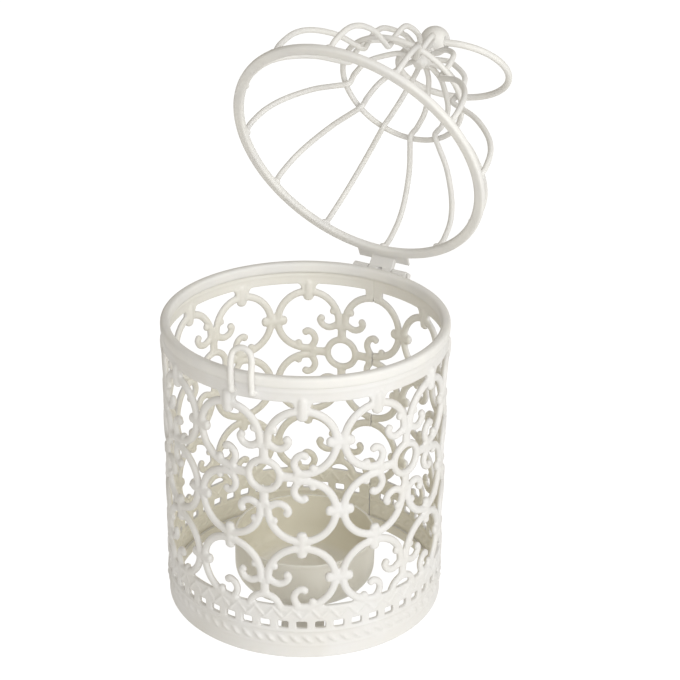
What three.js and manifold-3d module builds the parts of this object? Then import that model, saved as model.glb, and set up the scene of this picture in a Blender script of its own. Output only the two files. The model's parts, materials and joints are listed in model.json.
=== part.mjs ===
// Birdcage lantern for one tealight: a pierced metal cage with a hinged wire lid.
// Millimetres, +Z up. The origin is the centre of the base, on the surface it stands on,
// and -Y is the front. The lid is shown open, as it rests against its stop.
import * as THREE from "three";
import { mergeVertices } from "three/addons/utils/BufferGeometryUtils.js";
import Module from "manifold-3d";

const wasm = await Module();
wasm.setup();

// Clearances
const SEAT_GAP = 0.3;          // between two pieces that rest on, or are welded to, each other
const PIN_CLEARANCE = 0.25;    // round the hinge pin
const BORE_CLEARANCE = 0.3;    // round the handle ring, in the ball

// Pierced wall
const COLUMNS = 12;
const ROWS = 3;
const WALL_RADIUS = 39.4;      // outer face of the wall
const WALL_THICKNESS = 1.4;
const ROW_PITCH = 20.5;
const LOWER_BAND_HEIGHT = 16.3;
const LOWER_BAND_LAP = 1.4;    // how far the lowest circles run down into the lower band
const UPPER_BAND_HEIGHT = 3.6;
const BRIDGE_HEIGHT = 1.6;     // from the top circles up to the upper band
const BRIDGE_WIDTH = 6.4;
const STRAND_WIDTH = 2.4;
const STRAND_OVERLAP = 0.4;    // how far two touching circles run into each other
const EYE_RADIUS = 3.3;        // the round hole in the small ring between four circles
const EYE_RING_WIDTH = 2.1;
const EYE_NECK_WIDTH = 2.6;    // the four short necks that hold the ring
const STEM_LENGTH = 1.95;      // of two strands side by side, from a touching point to a neck
const SEAM_GAP = 0.3;
const SEAM_COLUMN = 5;         // the wall's ends meet on this column, at the hinge
const WALL_STEP = 7.5;         // longest edge along the bent wall
const SLICE_SHIFT = 0.6;       // keeps the wall's slices off the pattern's corners

// Scrolls, nubs and clasps, where two circles touch
const SCROLL_WIDTH = 2.2;
const SCROLL_REACH = 7.75;     // from the touching point to the outside of the hook
const SCROLL_BELLY = 2.1;      // how far its leg bows towards the eye
const SCROLL_TIP = 0.9;        // how far the hook comes back over the touching point
const NUB_OFFSET = 3.1;
const NUB_WIDTH = 2.3;
const NUB_REACH = 4.0;
const CLASP_WIDTH = 2.7;
const CLASP_REACH = 3.9;

// Slots in the lower band
const SLOTS_PER_COLUMN = 4;
const SLOT_WIDTH = 2.9;
const SLOT_HEIGHT = 2.3;
const SLOT_CENTRE_HEIGHT = 10.4;

// Rim, foot and floor
const RIM_WIDTH = 2.6;
const RIM_HEIGHT = 3.1;
const RIM_CORNER = 0.8;
const RIM_INSET = 0.3;         // of the rim's middle, from the middle of the wall's metal
const FOOT_HOOP_HEIGHT = 3.0;
const FOOT_HOOP_THICKNESS = 0.8;
const STRAP_WIDTH = 12;
const STRAP_THICKNESS = 1.0;
const CUP_RADIUS = 20.3;
const CUP_HEIGHT = 16;
const CUP_WALL = 0.6;
const CUP_FLOOR = 0.8;
const CUP_LIP = 0.5;           // how much thicker the rolled lip is than the wall
const CUP_CORNER = 6;          // outside radius of the round bottom corner
const RIVET_SPACING = 6;
const RIVET_RADIUS = 1.2;
const RIVET_HEAD_RADIUS = 1.9;
const RIVET_HEAD_HEIGHT = 0.9;

// Latch
const LATCH_AZIMUTH = -23;     // degrees round from the front, positive to the right
const LATCH_WIDTH = 6.4;       // between the two legs' middles
const LATCH_WIRE_RADIUS = 0.85;
const LATCH_PIVOT_DROP = 1.8;  // below the wall's top edge
const LATCH_HEIGHT = 12.4;     // from the pivot to the middle of the arch
const LATCH_LEAN = 0.4;        // of the arch's top, out from the wall's outer face
const LATCH_SWING = 25;
const LATCH_TOE = 0.5;         // how far each toe stands out inside the wall

// Hinge
const HINGE_AZIMUTH = 150.3;
const HINGE_STANDOFF = 1.55;   // from the outside of the rim to the knuckles
const HINGE_LENGTH = 17.4;
const HINGE_MIDDLE = 7.4;      // the lid leaf's knuckle
const HINGE_SIDE_GAP = 0.3;
const KNUCKLE_RADIUS = 1.25;
const PIN_RADIUS = 0.5;
const PIN_HEAD_RADIUS = 0.95;
const PIN_HEAD_LENGTH = 0.5;
const LEAF_THICKNESS = 0.7;
const BODY_LEAF_HEIGHT = 5.5;
const LID_LEAF_WIDTH = 16.5;
const LID_LEAF_REACH = 2.3;    // of its flat wings, out from the lid ring
const PIN_DROP = 2.0;          // from the rim's top down to the pin's middle
const LID_OPEN_ANGLE = 64.5;

// Lid
const RIBS = 12;
const RIB_WIRE_RADIUS = 0.8;
const LID_RING_OVERHANG = 0.3; // of its outside, from the middle of the rim
const LID_RING_WIDTH = 2.95;
const LID_RING_HEIGHT = 2.0;
const RIB_FOOT_INSET = 1.7;    // from the outside of the lid ring
const SHOULDER_BULGE = 0.2;    // of the lower tier's widest place, out from the ribs' feet
const SHOULDER_HEIGHT = 5.5;   // heights in the lid are from the lid ring's middle
const VALLEY_RADIUS = 16.9;    // where the ribs dip in under the crown ring
const VALLEY_HEIGHT = 27.0;
const CROWN_BULGE_RADIUS = 16.9;
const CROWN_BULGE_HEIGHT = 33.4;
const CROWN_TOP_HEIGHT = 42.8;
const CROWN_RING_WIRE_RADIUS = 0.8;
const CROWN_RING_RISE = 1.4;   // above the valley, so that it clears the lower tier too
const HUB_RADIUS = 3.4;
const HUB_THICKNESS = 2.6;
const HUB_STEM_RADIUS = 1.7;
const HUB_STEM_LENGTH = 2.2;
const HUB_DROP = 0.5;          // of its middle, below the ribs' highest place
const FINIAL_POST_RADIUS = 0.9;
const FINIAL_POST_LENGTH = 2.5;

// Ball and handle ring
const BALL_RADIUS = 4.4;
const BALL_SEAT_RADIUS = 1.7;  // the flat under the ball
const BORE_DROP = 0.7;         // the ring's hole, below the ball's middle
const HANDLE_RADIUS = 16.65;   // to the middle of the wire
const HANDLE_WIRE_RADIUS = 1.0;
const HANDLE_AZIMUTH = 234;    // the hole's direction, round from the front
const HANDLE_TIP = -9.1;       // the hole is this far out of level
const HANDLE_LEAN = 21.6;      // the ring stands this far up from the lid's plane

// Sides and steps of the round shapes
const WIRE_SIDES = 6;
const CIRCLE_SIDES = 12;
const EYE_SIDES = 10;
const HOOP_STEPS = 48;
const RIB_STEPS = 17;

// Places that follow from the sizes
const WALL_INNER_RADIUS = WALL_RADIUS - WALL_THICKNESS;
const WALL_MIDDLE_RADIUS = WALL_RADIUS - WALL_THICKNESS / 2;
const ORNAMENT_ROOT = 0.6 * STRAND_WIDTH;
const COLUMN_PITCH = (2 * Math.PI * WALL_RADIUS) / COLUMNS;
const PATTERN_TOP = LOWER_BAND_HEIGHT - LOWER_BAND_LAP + ROWS * ROW_PITCH;
const UPPER_BAND_BOTTOM = PATTERN_TOP + BRIDGE_HEIGHT;
const WALL_HEIGHT = UPPER_BAND_BOTTOM + UPPER_BAND_HEIGHT;
const RIM_BOTTOM = WALL_HEIGHT + SEAT_GAP;
const RIM_TOP = RIM_BOTTOM + RIM_HEIGHT;
const LID_RING_BOTTOM = RIM_TOP + SEAT_GAP;
const LID_RING_MIDDLE = LID_RING_BOTTOM + LID_RING_HEIGHT / 2;
const LID_RING_TOP = LID_RING_BOTTOM + LID_RING_HEIGHT;
const PIN_HEIGHT = RIM_TOP - PIN_DROP;
const RIM_RADIUS = WALL_MIDDLE_RADIUS - RIM_INSET;
const RIM_OUTER_RADIUS = RIM_RADIUS + RIM_WIDTH / 2;
const HINGE_RADIUS = RIM_OUTER_RADIUS + HINGE_STANDOFF + KNUCKLE_RADIUS;
const LID_RING_RADIUS = RIM_RADIUS + LID_RING_OVERHANG;
const RIB_FOOT_RADIUS = LID_RING_RADIUS - RIB_FOOT_INSET;
const SHOULDER_RADIUS = RIB_FOOT_RADIUS + SHOULDER_BULGE;
const FOOT_HOOP_RADIUS = WALL_INNER_RADIUS - SEAT_GAP;
const HUB_TOP = CROWN_TOP_HEIGHT - HUB_DROP + HUB_THICKNESS / 2;
const BALL_SEAT_DROP = Math.sqrt(BALL_RADIUS ** 2 - BALL_SEAT_RADIUS ** 2);
const BALL_HEIGHT = HUB_TOP + FINIAL_POST_LENGTH + SEAT_GAP + BALL_SEAT_DROP;
const STRAP_TOP = STRAP_THICKNESS;
const CUP_BOTTOM = STRAP_TOP + SEAT_GAP;

const radians = THREE.MathUtils.degToRad;

// Turns a closed geometry into a solid, and back
function toSolid(geometry) {
  const bare = geometry.clone();
  bare.deleteAttribute("normal");
  bare.deleteAttribute("uv");
  const merged = mergeVertices(bare, 1e-4);
  const mesh = new wasm.Mesh({
    numProp: 3,
    vertProperties: new Float32Array(merged.attributes.position.array),
    triVerts: new Uint32Array(merged.index.array),
  });
  mesh.merge();
  return new wasm.Manifold(mesh);
}

function toGeometry(solid) {
  const mesh = solid.getMesh();
  const geometry = new THREE.BufferGeometry();
  geometry.setAttribute("position", new THREE.BufferAttribute(mesh.vertProperties.slice(), 3));
  geometry.setIndex(new THREE.BufferAttribute(mesh.triVerts.slice(), 1));
  geometry.computeVertexNormals();
  return geometry;
}

function joinAll(solids) {
  let level = solids;
  while (level.length > 1) {
    const next = [];
    for (let i = 0; i < level.length; i += 2) {
      next.push(i + 1 < level.length ? level[i].add(level[i + 1]) : level[i]);
    }
    level = next;
  }
  return level[0];
}

// A flat plate of the wall's thickness, from outline points [along, up] and optional holes
function plate(points, holes = []) {
  const shape = new THREE.Shape(points.map(([x, y]) => new THREE.Vector2(x, y)));
  for (const hole of holes) {
    shape.holes.push(new THREE.Path(hole.map(([x, y]) => new THREE.Vector2(x, y))));
  }
  return toSolid(new THREE.ExtrudeGeometry(shape, { depth: WALL_THICKNESS, bevelEnabled: false }));
}

function ellipsePoints(cx, cy, rx, ry, sides) {
  const points = [];
  for (let i = 0; i < sides; i++) {
    const a = (2 * Math.PI * i) / sides;
    points.push([cx + rx * Math.cos(a), cy + ry * Math.sin(a)]);
  }
  return points;
}

function rectangle(x0, y0, x1, y1) {
  return [[x0, y0], [x1, y0], [x1, y1], [x0, y1]];
}

// One big circle of the pattern
function circlePlate(cx, cy) {
  const rx = COLUMN_PITCH / 2 + STRAND_OVERLAP / 2;
  const ry = ROW_PITCH / 2 + STRAND_OVERLAP / 2;
  const hole = ellipsePoints(cx, cy, rx - STRAND_WIDTH, ry - STRAND_WIDTH, CIRCLE_SIDES);
  return plate(ellipsePoints(cx, cy, rx, ry, CIRCLE_SIDES), [hole.reverse()]);
}

// The small ring in the middle of four circles, with its four necks
function eyePlate(cx, cy) {
  const outer = EYE_RADIUS + EYE_RING_WIDTH;
  const half = EYE_NECK_WIDTH / 2;
  const across = COLUMN_PITCH / 2 - STRAND_OVERLAP;
  const upright = ROW_PITCH / 2 - STRAND_OVERLAP;
  const solid = joinAll([
    plate(ellipsePoints(cx, cy, outer, outer, CIRCLE_SIDES)),
    plate(rectangle(cx - across, cy - half, cx + across, cy + half)),
    plate(rectangle(cx - half, cy - upright, cx + half, cy + upright)),
  ]);
  return solid.subtract(plate(ellipsePoints(cx, cy, EYE_RADIUS, EYE_RADIUS, EYE_SIDES)));
}

// The circles end short of each small ring: this is the round room left for it
function eyeClearing(cx, cy) {
  const rx = COLUMN_PITCH / 2 - STEM_LENGTH;
  const ry = ROW_PITCH / 2 - STEM_LENGTH;
  return plate(ellipsePoints(cx, cy, rx, ry, CIRCLE_SIDES));
}

// Places outline points given as [away from the eye, into the circle] at a touching point
function placed(points, touch, away, into) {
  const list = points.map(([e, n]) => [
    touch[0] + e * away[0] + n * into[0],
    touch[1] + e * away[1] + n * into[1],
  ]);
  const turn = away[0] * into[1] - away[1] * into[0];
  return turn > 0 ? list : list.reverse();
}

// The outline of a stroke of even width along a few points
function strokeOutline(points, width) {
  const left = [];
  const right = [];
  for (let i = 0; i < points.length; i++) {
    const before = points[Math.max(i - 1, 0)];
    const after = points[Math.min(i + 1, points.length - 1)];
    const length = Math.hypot(after[0] - before[0], after[1] - before[1]);
    const [nx, ny] = [-(after[1] - before[1]) / length, (after[0] - before[0]) / length];
    left.push([points[i][0] + (nx * width) / 2, points[i][1] + (ny * width) / 2]);
    right.push([points[i][0] - (nx * width) / 2, points[i][1] - (ny * width) / 2]);
  }
  return [...right, ...left.reverse()];
}

// The hooked scroll: it bows towards the eye, then turns back over the touching point
function scrollOutline() {
  const top = SCROLL_REACH - SCROLL_WIDTH / 2;
  return strokeOutline([
    [-0.55 * SCROLL_BELLY, ORNAMENT_ROOT],
    [-SCROLL_BELLY, 0.58 * top],
    [-0.55 * SCROLL_BELLY, 0.9 * top],
    [SCROLL_TIP, top],
  ], SCROLL_WIDTH);
}

function nubOutline() {
  const half = NUB_WIDTH / 2;
  return [
    [NUB_OFFSET - half, ORNAMENT_ROOT],
    [NUB_OFFSET + half, ORNAMENT_ROOT],
    [NUB_OFFSET + 0.5 * half, NUB_REACH],
    [NUB_OFFSET - 0.5 * half, NUB_REACH],
  ];
}

function claspOutline() {
  const half = CLASP_WIDTH / 2;
  return rectangle(-half, ORNAMENT_ROOT, half, CLASP_REACH);
}

const isEyeBoundary = (column) => ((Math.round(column) % 2) + 2) % 2 === 0;
const junctionHeight = (j) => PATTERN_TOP - j * ROW_PITCH;

// The short bridge between a top circle and the upper band
function bridgeOutline(x) {
  const low = PATTERN_TOP - 0.4 * STRAND_WIDTH;
  const high = UPPER_BAND_BOTTOM + 0.1;
  const half = BRIDGE_WIDTH / 2;
  return [[x - 0.6 * half, low], [x + 0.6 * half, low], [x + half, high], [x - half, high]];
}

// The ornaments at the side touch point to the left of a column
function sideOrnaments(column, boundary, row) {
  const touch = [boundary * COLUMN_PITCH, junctionHeight(row - 0.5)];
  const plates = [];
  const up = row === 2 ? -1 : 1;
  for (const side of [-1, 1]) {
    const into = [side, 0];
    if (isEyeBoundary(column)) {
      plates.push(plate(placed(scrollOutline(), touch, [0, up], into)));
      plates.push(plate(placed(nubOutline(), touch, [0, up], into)));
    } else {
      plates.push(plate(placed(claspOutline(), touch, [0, 1], into)));
    }
  }
  return plates;
}

// The wall as the flat strip it is rolled from: along is the arc length on the outer face
function flatWall() {
  const first = SEAM_COLUMN - COLUMNS;
  const start = first * COLUMN_PITCH + SEAM_GAP / 2;
  const end = SEAM_COLUMN * COLUMN_PITCH - SEAM_GAP / 2;
  const circles = [];
  const clearings = [];
  const strip = [];
  const loose = [];
  strip.push(plate(rectangle(start, 0, end, LOWER_BAND_HEIGHT)));
  strip.push(plate(rectangle(start, UPPER_BAND_BOTTOM, end, WALL_HEIGHT)));
  for (let column = first; column <= SEAM_COLUMN; column++) {
    const x = column * COLUMN_PITCH;
    const boundary = column - 0.5;
    for (let row = 1; row <= ROWS; row++) {
      circles.push(circlePlate(x, junctionHeight(row - 0.5)));
      if (column > first) loose.push(...sideOrnaments(column, boundary, row));
    }
    if (column > first && isEyeBoundary(column)) {
      for (const junction of [1, 3]) {
        clearings.push(eyeClearing(boundary * COLUMN_PITCH, junctionHeight(junction)));
        strip.push(eyePlate(boundary * COLUMN_PITCH, junctionHeight(junction)));
      }
    }
    strip.push(plate(bridgeOutline(x)));
    const away = isEyeBoundary(column) ? 1 : -1;
    for (const [junction, side] of [[1, 1], [1, -1], [3, 1]]) {
      const touch = [x, junctionHeight(junction)];
      const rootInside = column === first ? away < 0 : column === SEAM_COLUMN ? away > 0 : true;
      const nubInside = column === first ? away > 0 : column === SEAM_COLUMN ? away < 0 : true;
      if (rootInside) loose.push(plate(placed(scrollOutline(), touch, [away, 0], [0, side])));
      if (nubInside) loose.push(plate(placed(nubOutline(), touch, [away, 0], [0, side])));
    }
    for (const [junction, side] of [[0, -1], [2, 1], [2, -1]]) {
      const touch = [x, junctionHeight(junction)];
      strip.push(plate(placed(claspOutline(), touch, [1, 0], [0, side])));
    }
  }
  const trim = plate(rectangle(start, 0, end, WALL_HEIGHT));
  const lace = joinAll(circles).subtract(joinAll(clearings));
  const wall = joinAll([lace, ...strip]).intersect(trim).add(joinAll(loose));
  const cuts = [];
  for (let i = 1; i < COLUMNS * SLOTS_PER_COLUMN; i++) {
    const x = first * COLUMN_PITCH + (i * COLUMN_PITCH) / SLOTS_PER_COLUMN;
    const half = SLOT_WIDTH / 2;
    const low = SLOT_CENTRE_HEIGHT - SLOT_HEIGHT / 2;
    cuts.push(plate(rectangle(x - half, low, x + half, low + SLOT_HEIGHT)));
  }
  for (const side of [-1, 1]) {
    const x = radians(LATCH_AZIMUTH) * WALL_RADIUS + side * 0.5 * LATCH_WIDTH;
    const half = LATCH_WIRE_RADIUS + SEAT_GAP;
    const rise = half + 0.5 * WALL_THICKNESS * Math.sin(radians(LATCH_SWING));
    const z = WALL_HEIGHT - LATCH_PIVOT_DROP;
    cuts.push(plate(rectangle(x - half, z - rise, x + half, z + rise)));
  }
  return wall.subtract(joinAll(cuts)).asOriginal().simplify(1e-3);
}

// Cuts a flat solid into slices along it and leaves out the faces between them, which joins
// them again: what is gained is that no face runs far along the strip
function sliced(flat, cuts) {
  const points = [];
  const seams = cuts.map(() => []);
  const seamOf = (point) => cuts.findIndex((x) => Math.abs(point.x - x) < 1e-3);
  const keep = (point) => {
    const seam = seams[seamOf(point)];
    const known = seam && seam.find((i) => points[i].distanceTo(point) < 2e-3);
    if (known !== undefined) return known;
    points.push(point);
    if (seam) seam.push(points.length - 1);
    return points.length - 1;
  };
  const triangles = [];
  let rest = flat;
  for (let k = 0; k <= cuts.length; k++) {
    let slice = rest;
    if (k < cuts.length) [rest, slice] = rest.splitByPlane([1, 0, 0], cuts[k]);
    const { vertProperties: v, triVerts: t } = slice.getMesh();
    const kept = [];
    for (let i = 0; i < v.length; i += 3) kept.push(keep(new THREE.Vector3().fromArray(v, i)));
    for (let i = 0; i < t.length; i += 3) triangles.push([kept[t[i]], kept[t[i + 1]], kept[t[i + 2]]]);
  }
  const joined = [];
  for (const triangle of triangles) {
    if (new Set(triangle).size < 3) continue;
    const sides = triangle.map((i) => seamOf(points[i]));
    if (sides[0] >= 0 && sides.every((side) => side === sides[0])) continue;
    const first = [0, 1, 2].find((j) => sides[j] >= 0 && sides[j] === sides[(j + 1) % 3]) ?? 0;
    const [a, b, c] = [0, 1, 2].map((j) => triangle[(first + j) % 3]);
    const shared = sides[first] === sides[(first + 1) % 3] ? seams[sides[first]] ?? [] : [];
    const chain = [a, ...between(points, shared, a, b), b];
    for (let j = 1; j < chain.length; j++) joined.push([chain[j - 1], chain[j], c]);
  }
  return { points, triangles: joined };
}

// The candidates that lie on the edge from a to b, in order
function between(points, candidates, a, b) {
  const edge = new THREE.Line3(points[a], points[b]);
  const spot = new THREE.Vector3();
  const found = [];
  for (const i of candidates) {
    const t = edge.closestPointToPointParameter(points[i], false);
    const near = edge.at(t, spot).distanceTo(points[i]) < 3e-3;
    if (i !== a && i !== b && t > 0 && t < 1 && near) found.push([t, i]);
  }
  return found.sort((one, other) => one[0] - other[0]).map(([, i]) => i);
}

// Halves every edge that runs too far along the strip
function halved(points, triangles, longest) {
  const middles = new Map();
  const middle = (i, j) => {
    const key = i < j ? `${i} ${j}` : `${j} ${i}`;
    if (!middles.has(key)) {
      middles.set(key, points.length);
      points.push(points[i].clone().lerp(points[j], 0.5));
    }
    return middles.get(key);
  };
  const done = [];
  const open = [...triangles];
  while (open.length > 0) {
    const triangle = open.pop();
    const spans = [0, 1, 2].map((j) => Math.abs(points[triangle[j]].x - points[triangle[(j + 1) % 3]].x));
    const worst = spans.indexOf(Math.max(...spans));
    if (spans[worst] <= longest) {
      done.push(triangle);
      continue;
    }
    const [a, b, c] = [0, 1, 2].map((j) => triangle[(worst + j) % 3]);
    const m = middle(a, b);
    open.push([a, m, c], [m, b, c]);
  }
  return done;
}

// Rolls the strip up: x runs round the wall, y up it, and z from its inner face outwards
function rolled(flat) {
  const { min, max } = flat.boundingBox();
  const step = COLUMN_PITCH / 2;
  const cuts = [];
  for (let x = min[0] + step + SLICE_SHIFT; x < max[0] - SLICE_SHIFT; x += step) cuts.push(x);
  const { points, triangles } = sliced(flat, cuts);
  const index = halved(points, triangles, WALL_STEP).flat();
  const bent = points.map((point) => {
    const angle = point.x / WALL_RADIUS;
    const r = WALL_INNER_RADIUS + point.z;
    return new THREE.Vector3(r * Math.sin(angle), -r * Math.cos(angle), point.y);
  });
  const geometry = new THREE.BufferGeometry().setFromPoints(bent).setIndex(index);
  geometry.computeVertexNormals();
  return geometry;
}

// Round bars and turned pieces
function circleProfile(radius, height, wireRadius, sides = WIRE_SIDES) {
  const points = [];
  for (let i = 0; i <= sides; i++) {
    const a = -(2 * Math.PI * (i + 0.5)) / sides;
    points.push(new THREE.Vector2(radius + wireRadius * Math.cos(a), height + wireRadius * Math.sin(a)));
  }
  return points;
}

// A lathe turns about Y, so the result is stood up along Z
function turned(points, steps) {
  const geometry = new THREE.LatheGeometry(points, steps);
  geometry.rotateX(Math.PI / 2);
  const bare = geometry.index ? geometry : geometry.toNonIndexed();
  bare.deleteAttribute("normal");
  bare.deleteAttribute("uv");
  return facingOut(cleaned(mergeVertices(bare, 1e-4)));
}

// Drops the flat triangles that a lathe leaves on its axis
function cleaned(geometry) {
  const index = geometry.index.array;
  const kept = [];
  for (let i = 0; i < index.length; i += 3) {
    const [a, b, c] = [index[i], index[i + 1], index[i + 2]];
    if (a !== b && b !== c && c !== a) kept.push(a, b, c);
  }
  geometry.setIndex(kept);
  return geometry;
}

// Turns a closed mesh inside out if its signed volume says that it faces inwards
function facingOut(geometry) {
  const p = geometry.attributes.position;
  const index = geometry.index.array;
  const [a, b, c] = [new THREE.Vector3(), new THREE.Vector3(), new THREE.Vector3()];
  let volume = 0;
  for (let i = 0; i < index.length; i += 3) {
    a.fromBufferAttribute(p, index[i]);
    b.fromBufferAttribute(p, index[i + 1]);
    c.fromBufferAttribute(p, index[i + 2]);
    volume += a.dot(b.cross(c));
  }
  if (volume < 0) {
    for (let i = 0; i < index.length; i += 3) {
      [index[i + 1], index[i + 2]] = [index[i + 2], index[i + 1]];
    }
  }
  geometry.computeVertexNormals();
  return geometry;
}

function profile(points) {
  return points.map(([r, z]) => new THREE.Vector2(r, z));
}

// A wire of a given radius along a smooth curve through points
function wire(points, wireRadius, steps, sides = WIRE_SIDES) {
  const curve = new THREE.CatmullRomCurve3(points, false, "centripetal");
  const section = new THREE.Shape();
  for (let i = 0; i < sides; i++) {
    const a = (2 * Math.PI * i) / sides;
    const [x, y] = [wireRadius * Math.cos(a), wireRadius * Math.sin(a)];
    if (i === 0) section.moveTo(x, y);
    else section.lineTo(x, y);
  }
  section.closePath();
  const geometry = new THREE.ExtrudeGeometry(section, { steps, extrudePath: curve });
  geometry.deleteAttribute("normal");
  geometry.deleteAttribute("uv");
  return facingOut(cleaned(mergeVertices(geometry, 1e-4)));
}

// A cylinder along X, and a prism along X from an outline in (Y, Z)
function barAlongX(radius, x0, x1, y, z, sides = 12) {
  const geometry = new THREE.CylinderGeometry(radius, radius, x1 - x0, sides);
  geometry.rotateZ(Math.PI / 2);
  geometry.translate((x0 + x1) / 2, y, z);
  return toSolid(geometry);
}

function prismAlongX(points, x0, x1) {
  const shape = new THREE.Shape(points.map(([y, z]) => new THREE.Vector2(y, z)));
  const geometry = new THREE.ExtrudeGeometry(shape, { depth: x1 - x0, bevelEnabled: false });
  const swap = new THREE.Matrix4().makeBasis(
    new THREE.Vector3(0, 1, 0),
    new THREE.Vector3(0, 0, 1),
    new THREE.Vector3(1, 0, 0),
  );
  geometry.applyMatrix4(swap);
  geometry.translate(x0, 0, 0);
  return toSolid(geometry);
}

// Body pieces
function hoopProfile(inner, outer, low, high, corner) {
  return profile([
    [inner, low + corner],
    [inner + corner, low],
    [outer - corner, low],
    [outer, low + corner],
    [outer, high - corner],
    [outer - corner, high],
    [inner + corner, high],
    [inner, high - corner],
    [inner, low + corner],
  ]);
}

function rimBead() {
  const inner = RIM_OUTER_RADIUS - RIM_WIDTH;
  return turned(hoopProfile(inner, RIM_OUTER_RADIUS, RIM_BOTTOM, RIM_TOP, RIM_CORNER), HOOP_STEPS);
}

// The foot hoop lies inside the wall's lower edge and carries the strap's ends
function footHoop() {
  const outer = FOOT_HOOP_RADIUS;
  const inner = outer - FOOT_HOOP_THICKNESS;
  const ring = [[inner, 0], [outer, 0], [outer, FOOT_HOOP_HEIGHT], [inner, FOOT_HOOP_HEIGHT], [inner, 0]];
  return turned(profile(ring), HOOP_STEPS);
}

function rivetHoles(from, to) {
  return [-1, 1].map((side) => {
    const bore = RIVET_RADIUS + SEAT_GAP;
    const geometry = new THREE.CylinderGeometry(bore, bore, to - from, 12);
    geometry.rotateX(Math.PI / 2);
    geometry.translate(0, side * 0.5 * RIVET_SPACING, (from + to) / 2);
    return toSolid(geometry);
  });
}

// The flat strap under the cup: its ends follow the inside of the foot hoop
function baseStrap() {
  const reach = FOOT_HOOP_RADIUS - FOOT_HOOP_THICKNESS - SEAT_GAP;
  const half = STRAP_WIDTH / 2;
  const points = [];
  const edge = Math.asin(half / reach);
  const steps = 3;
  for (const turn of [0, Math.PI]) {
    for (let i = -steps; i <= steps; i++) {
      const a = turn + (edge * i) / steps;
      points.push(new THREE.Vector2(reach * Math.sin(a), -reach * Math.cos(a)));
    }
  }
  const bar = new THREE.ExtrudeGeometry(new THREE.Shape(points), { depth: STRAP_TOP, bevelEnabled: false });
  return toGeometry(toSolid(bar).subtract(joinAll(rivetHoles(-1, STRAP_TOP + 1))));
}

function tealightCup() {
  const inner = CUP_RADIUS - CUP_WALL;
  const lip = inner - CUP_LIP;
  const top = CUP_BOTTOM + CUP_HEIGHT;
  const floor = CUP_BOTTOM + CUP_FLOOR;
  const corner = (r, z, radius) => [0, 1, 2, 3].map((i) => {
    const a = (i * Math.PI) / 6;
    return [r - radius * (1 - Math.sin(a)), z + radius * (1 - Math.cos(a))];
  });
  const points = [
    [0, CUP_BOTTOM],
    ...corner(CUP_RADIUS, CUP_BOTTOM, CUP_CORNER),
    [CUP_RADIUS, top - CUP_LIP],
    [CUP_RADIUS - CUP_LIP / 2, top],
    [lip + CUP_LIP / 2, top],
    [lip, top - CUP_LIP],
    [inner, top - 2 * CUP_LIP],
    ...corner(inner, floor, CUP_CORNER - CUP_WALL).reverse(),
    [0, floor],
  ];
  const cup = toSolid(turned(profile(points), 40));
  return toGeometry(cup.subtract(joinAll(rivetHoles(CUP_BOTTOM - 1, floor + 0.5))));
}

function cupRivet(side) {
  const seat = CUP_BOTTOM + CUP_FLOOR + SEAT_GAP;
  const points = [
    [0, SEAT_GAP],
    [RIVET_RADIUS, SEAT_GAP],
    [RIVET_RADIUS, seat],
    [RIVET_HEAD_RADIUS, seat],
    [0.75 * RIVET_HEAD_RADIUS, seat + 0.7 * RIVET_HEAD_HEIGHT],
    [0, seat + RIVET_HEAD_HEIGHT],
  ];
  const geometry = turned(profile(points), 14);
  geometry.translate(0, side * 0.5 * RIVET_SPACING, 0);
  return geometry;
}

// Latch: one wire, bent to a narrow arch, whose toes pivot in two slots in the upper band
function latchLoop() {
  const half = LATCH_WIDTH / 2;
  const foot = WALL_RADIUS + SEAT_GAP + LATCH_WIRE_RADIUS;
  const pivot = WALL_HEIGHT - LATCH_PIVOT_DROP;
  const overRim = RIM_OUTER_RADIUS + SEAT_GAP + LATCH_WIRE_RADIUS;
  const archTop = pivot + LATCH_HEIGHT;
  const archSpring = archTop - half;
  const lean = WALL_RADIUS + LATCH_LEAN;
  const leg = [
    [WALL_INNER_RADIUS - LATCH_TOE, pivot],
    [WALL_RADIUS + 0.2, pivot],
    [foot + 0.1, pivot + 0.6],
    [foot + 0.1, pivot + 1.8],
    [overRim, RIM_BOTTOM + RIM_HEIGHT / 2],
    [overRim, RIM_TOP + 0.5],
    [lean + 0.6, archSpring],
  ];
  const points = [];
  for (const [y, z] of leg) points.push(new THREE.Vector3(-half, y, z));
  for (const a of [135, 90, 45]) {
    const x = half * Math.cos(radians(a));
    const z = archSpring + half * Math.sin(radians(a));
    points.push(new THREE.Vector3(x, lean + 0.6 * (1 - Math.sin(radians(a))), z));
  }
  for (const [y, z] of leg.slice().reverse()) points.push(new THREE.Vector3(half, y, z));
  return wire(points, LATCH_WIRE_RADIUS, 40);
}

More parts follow.
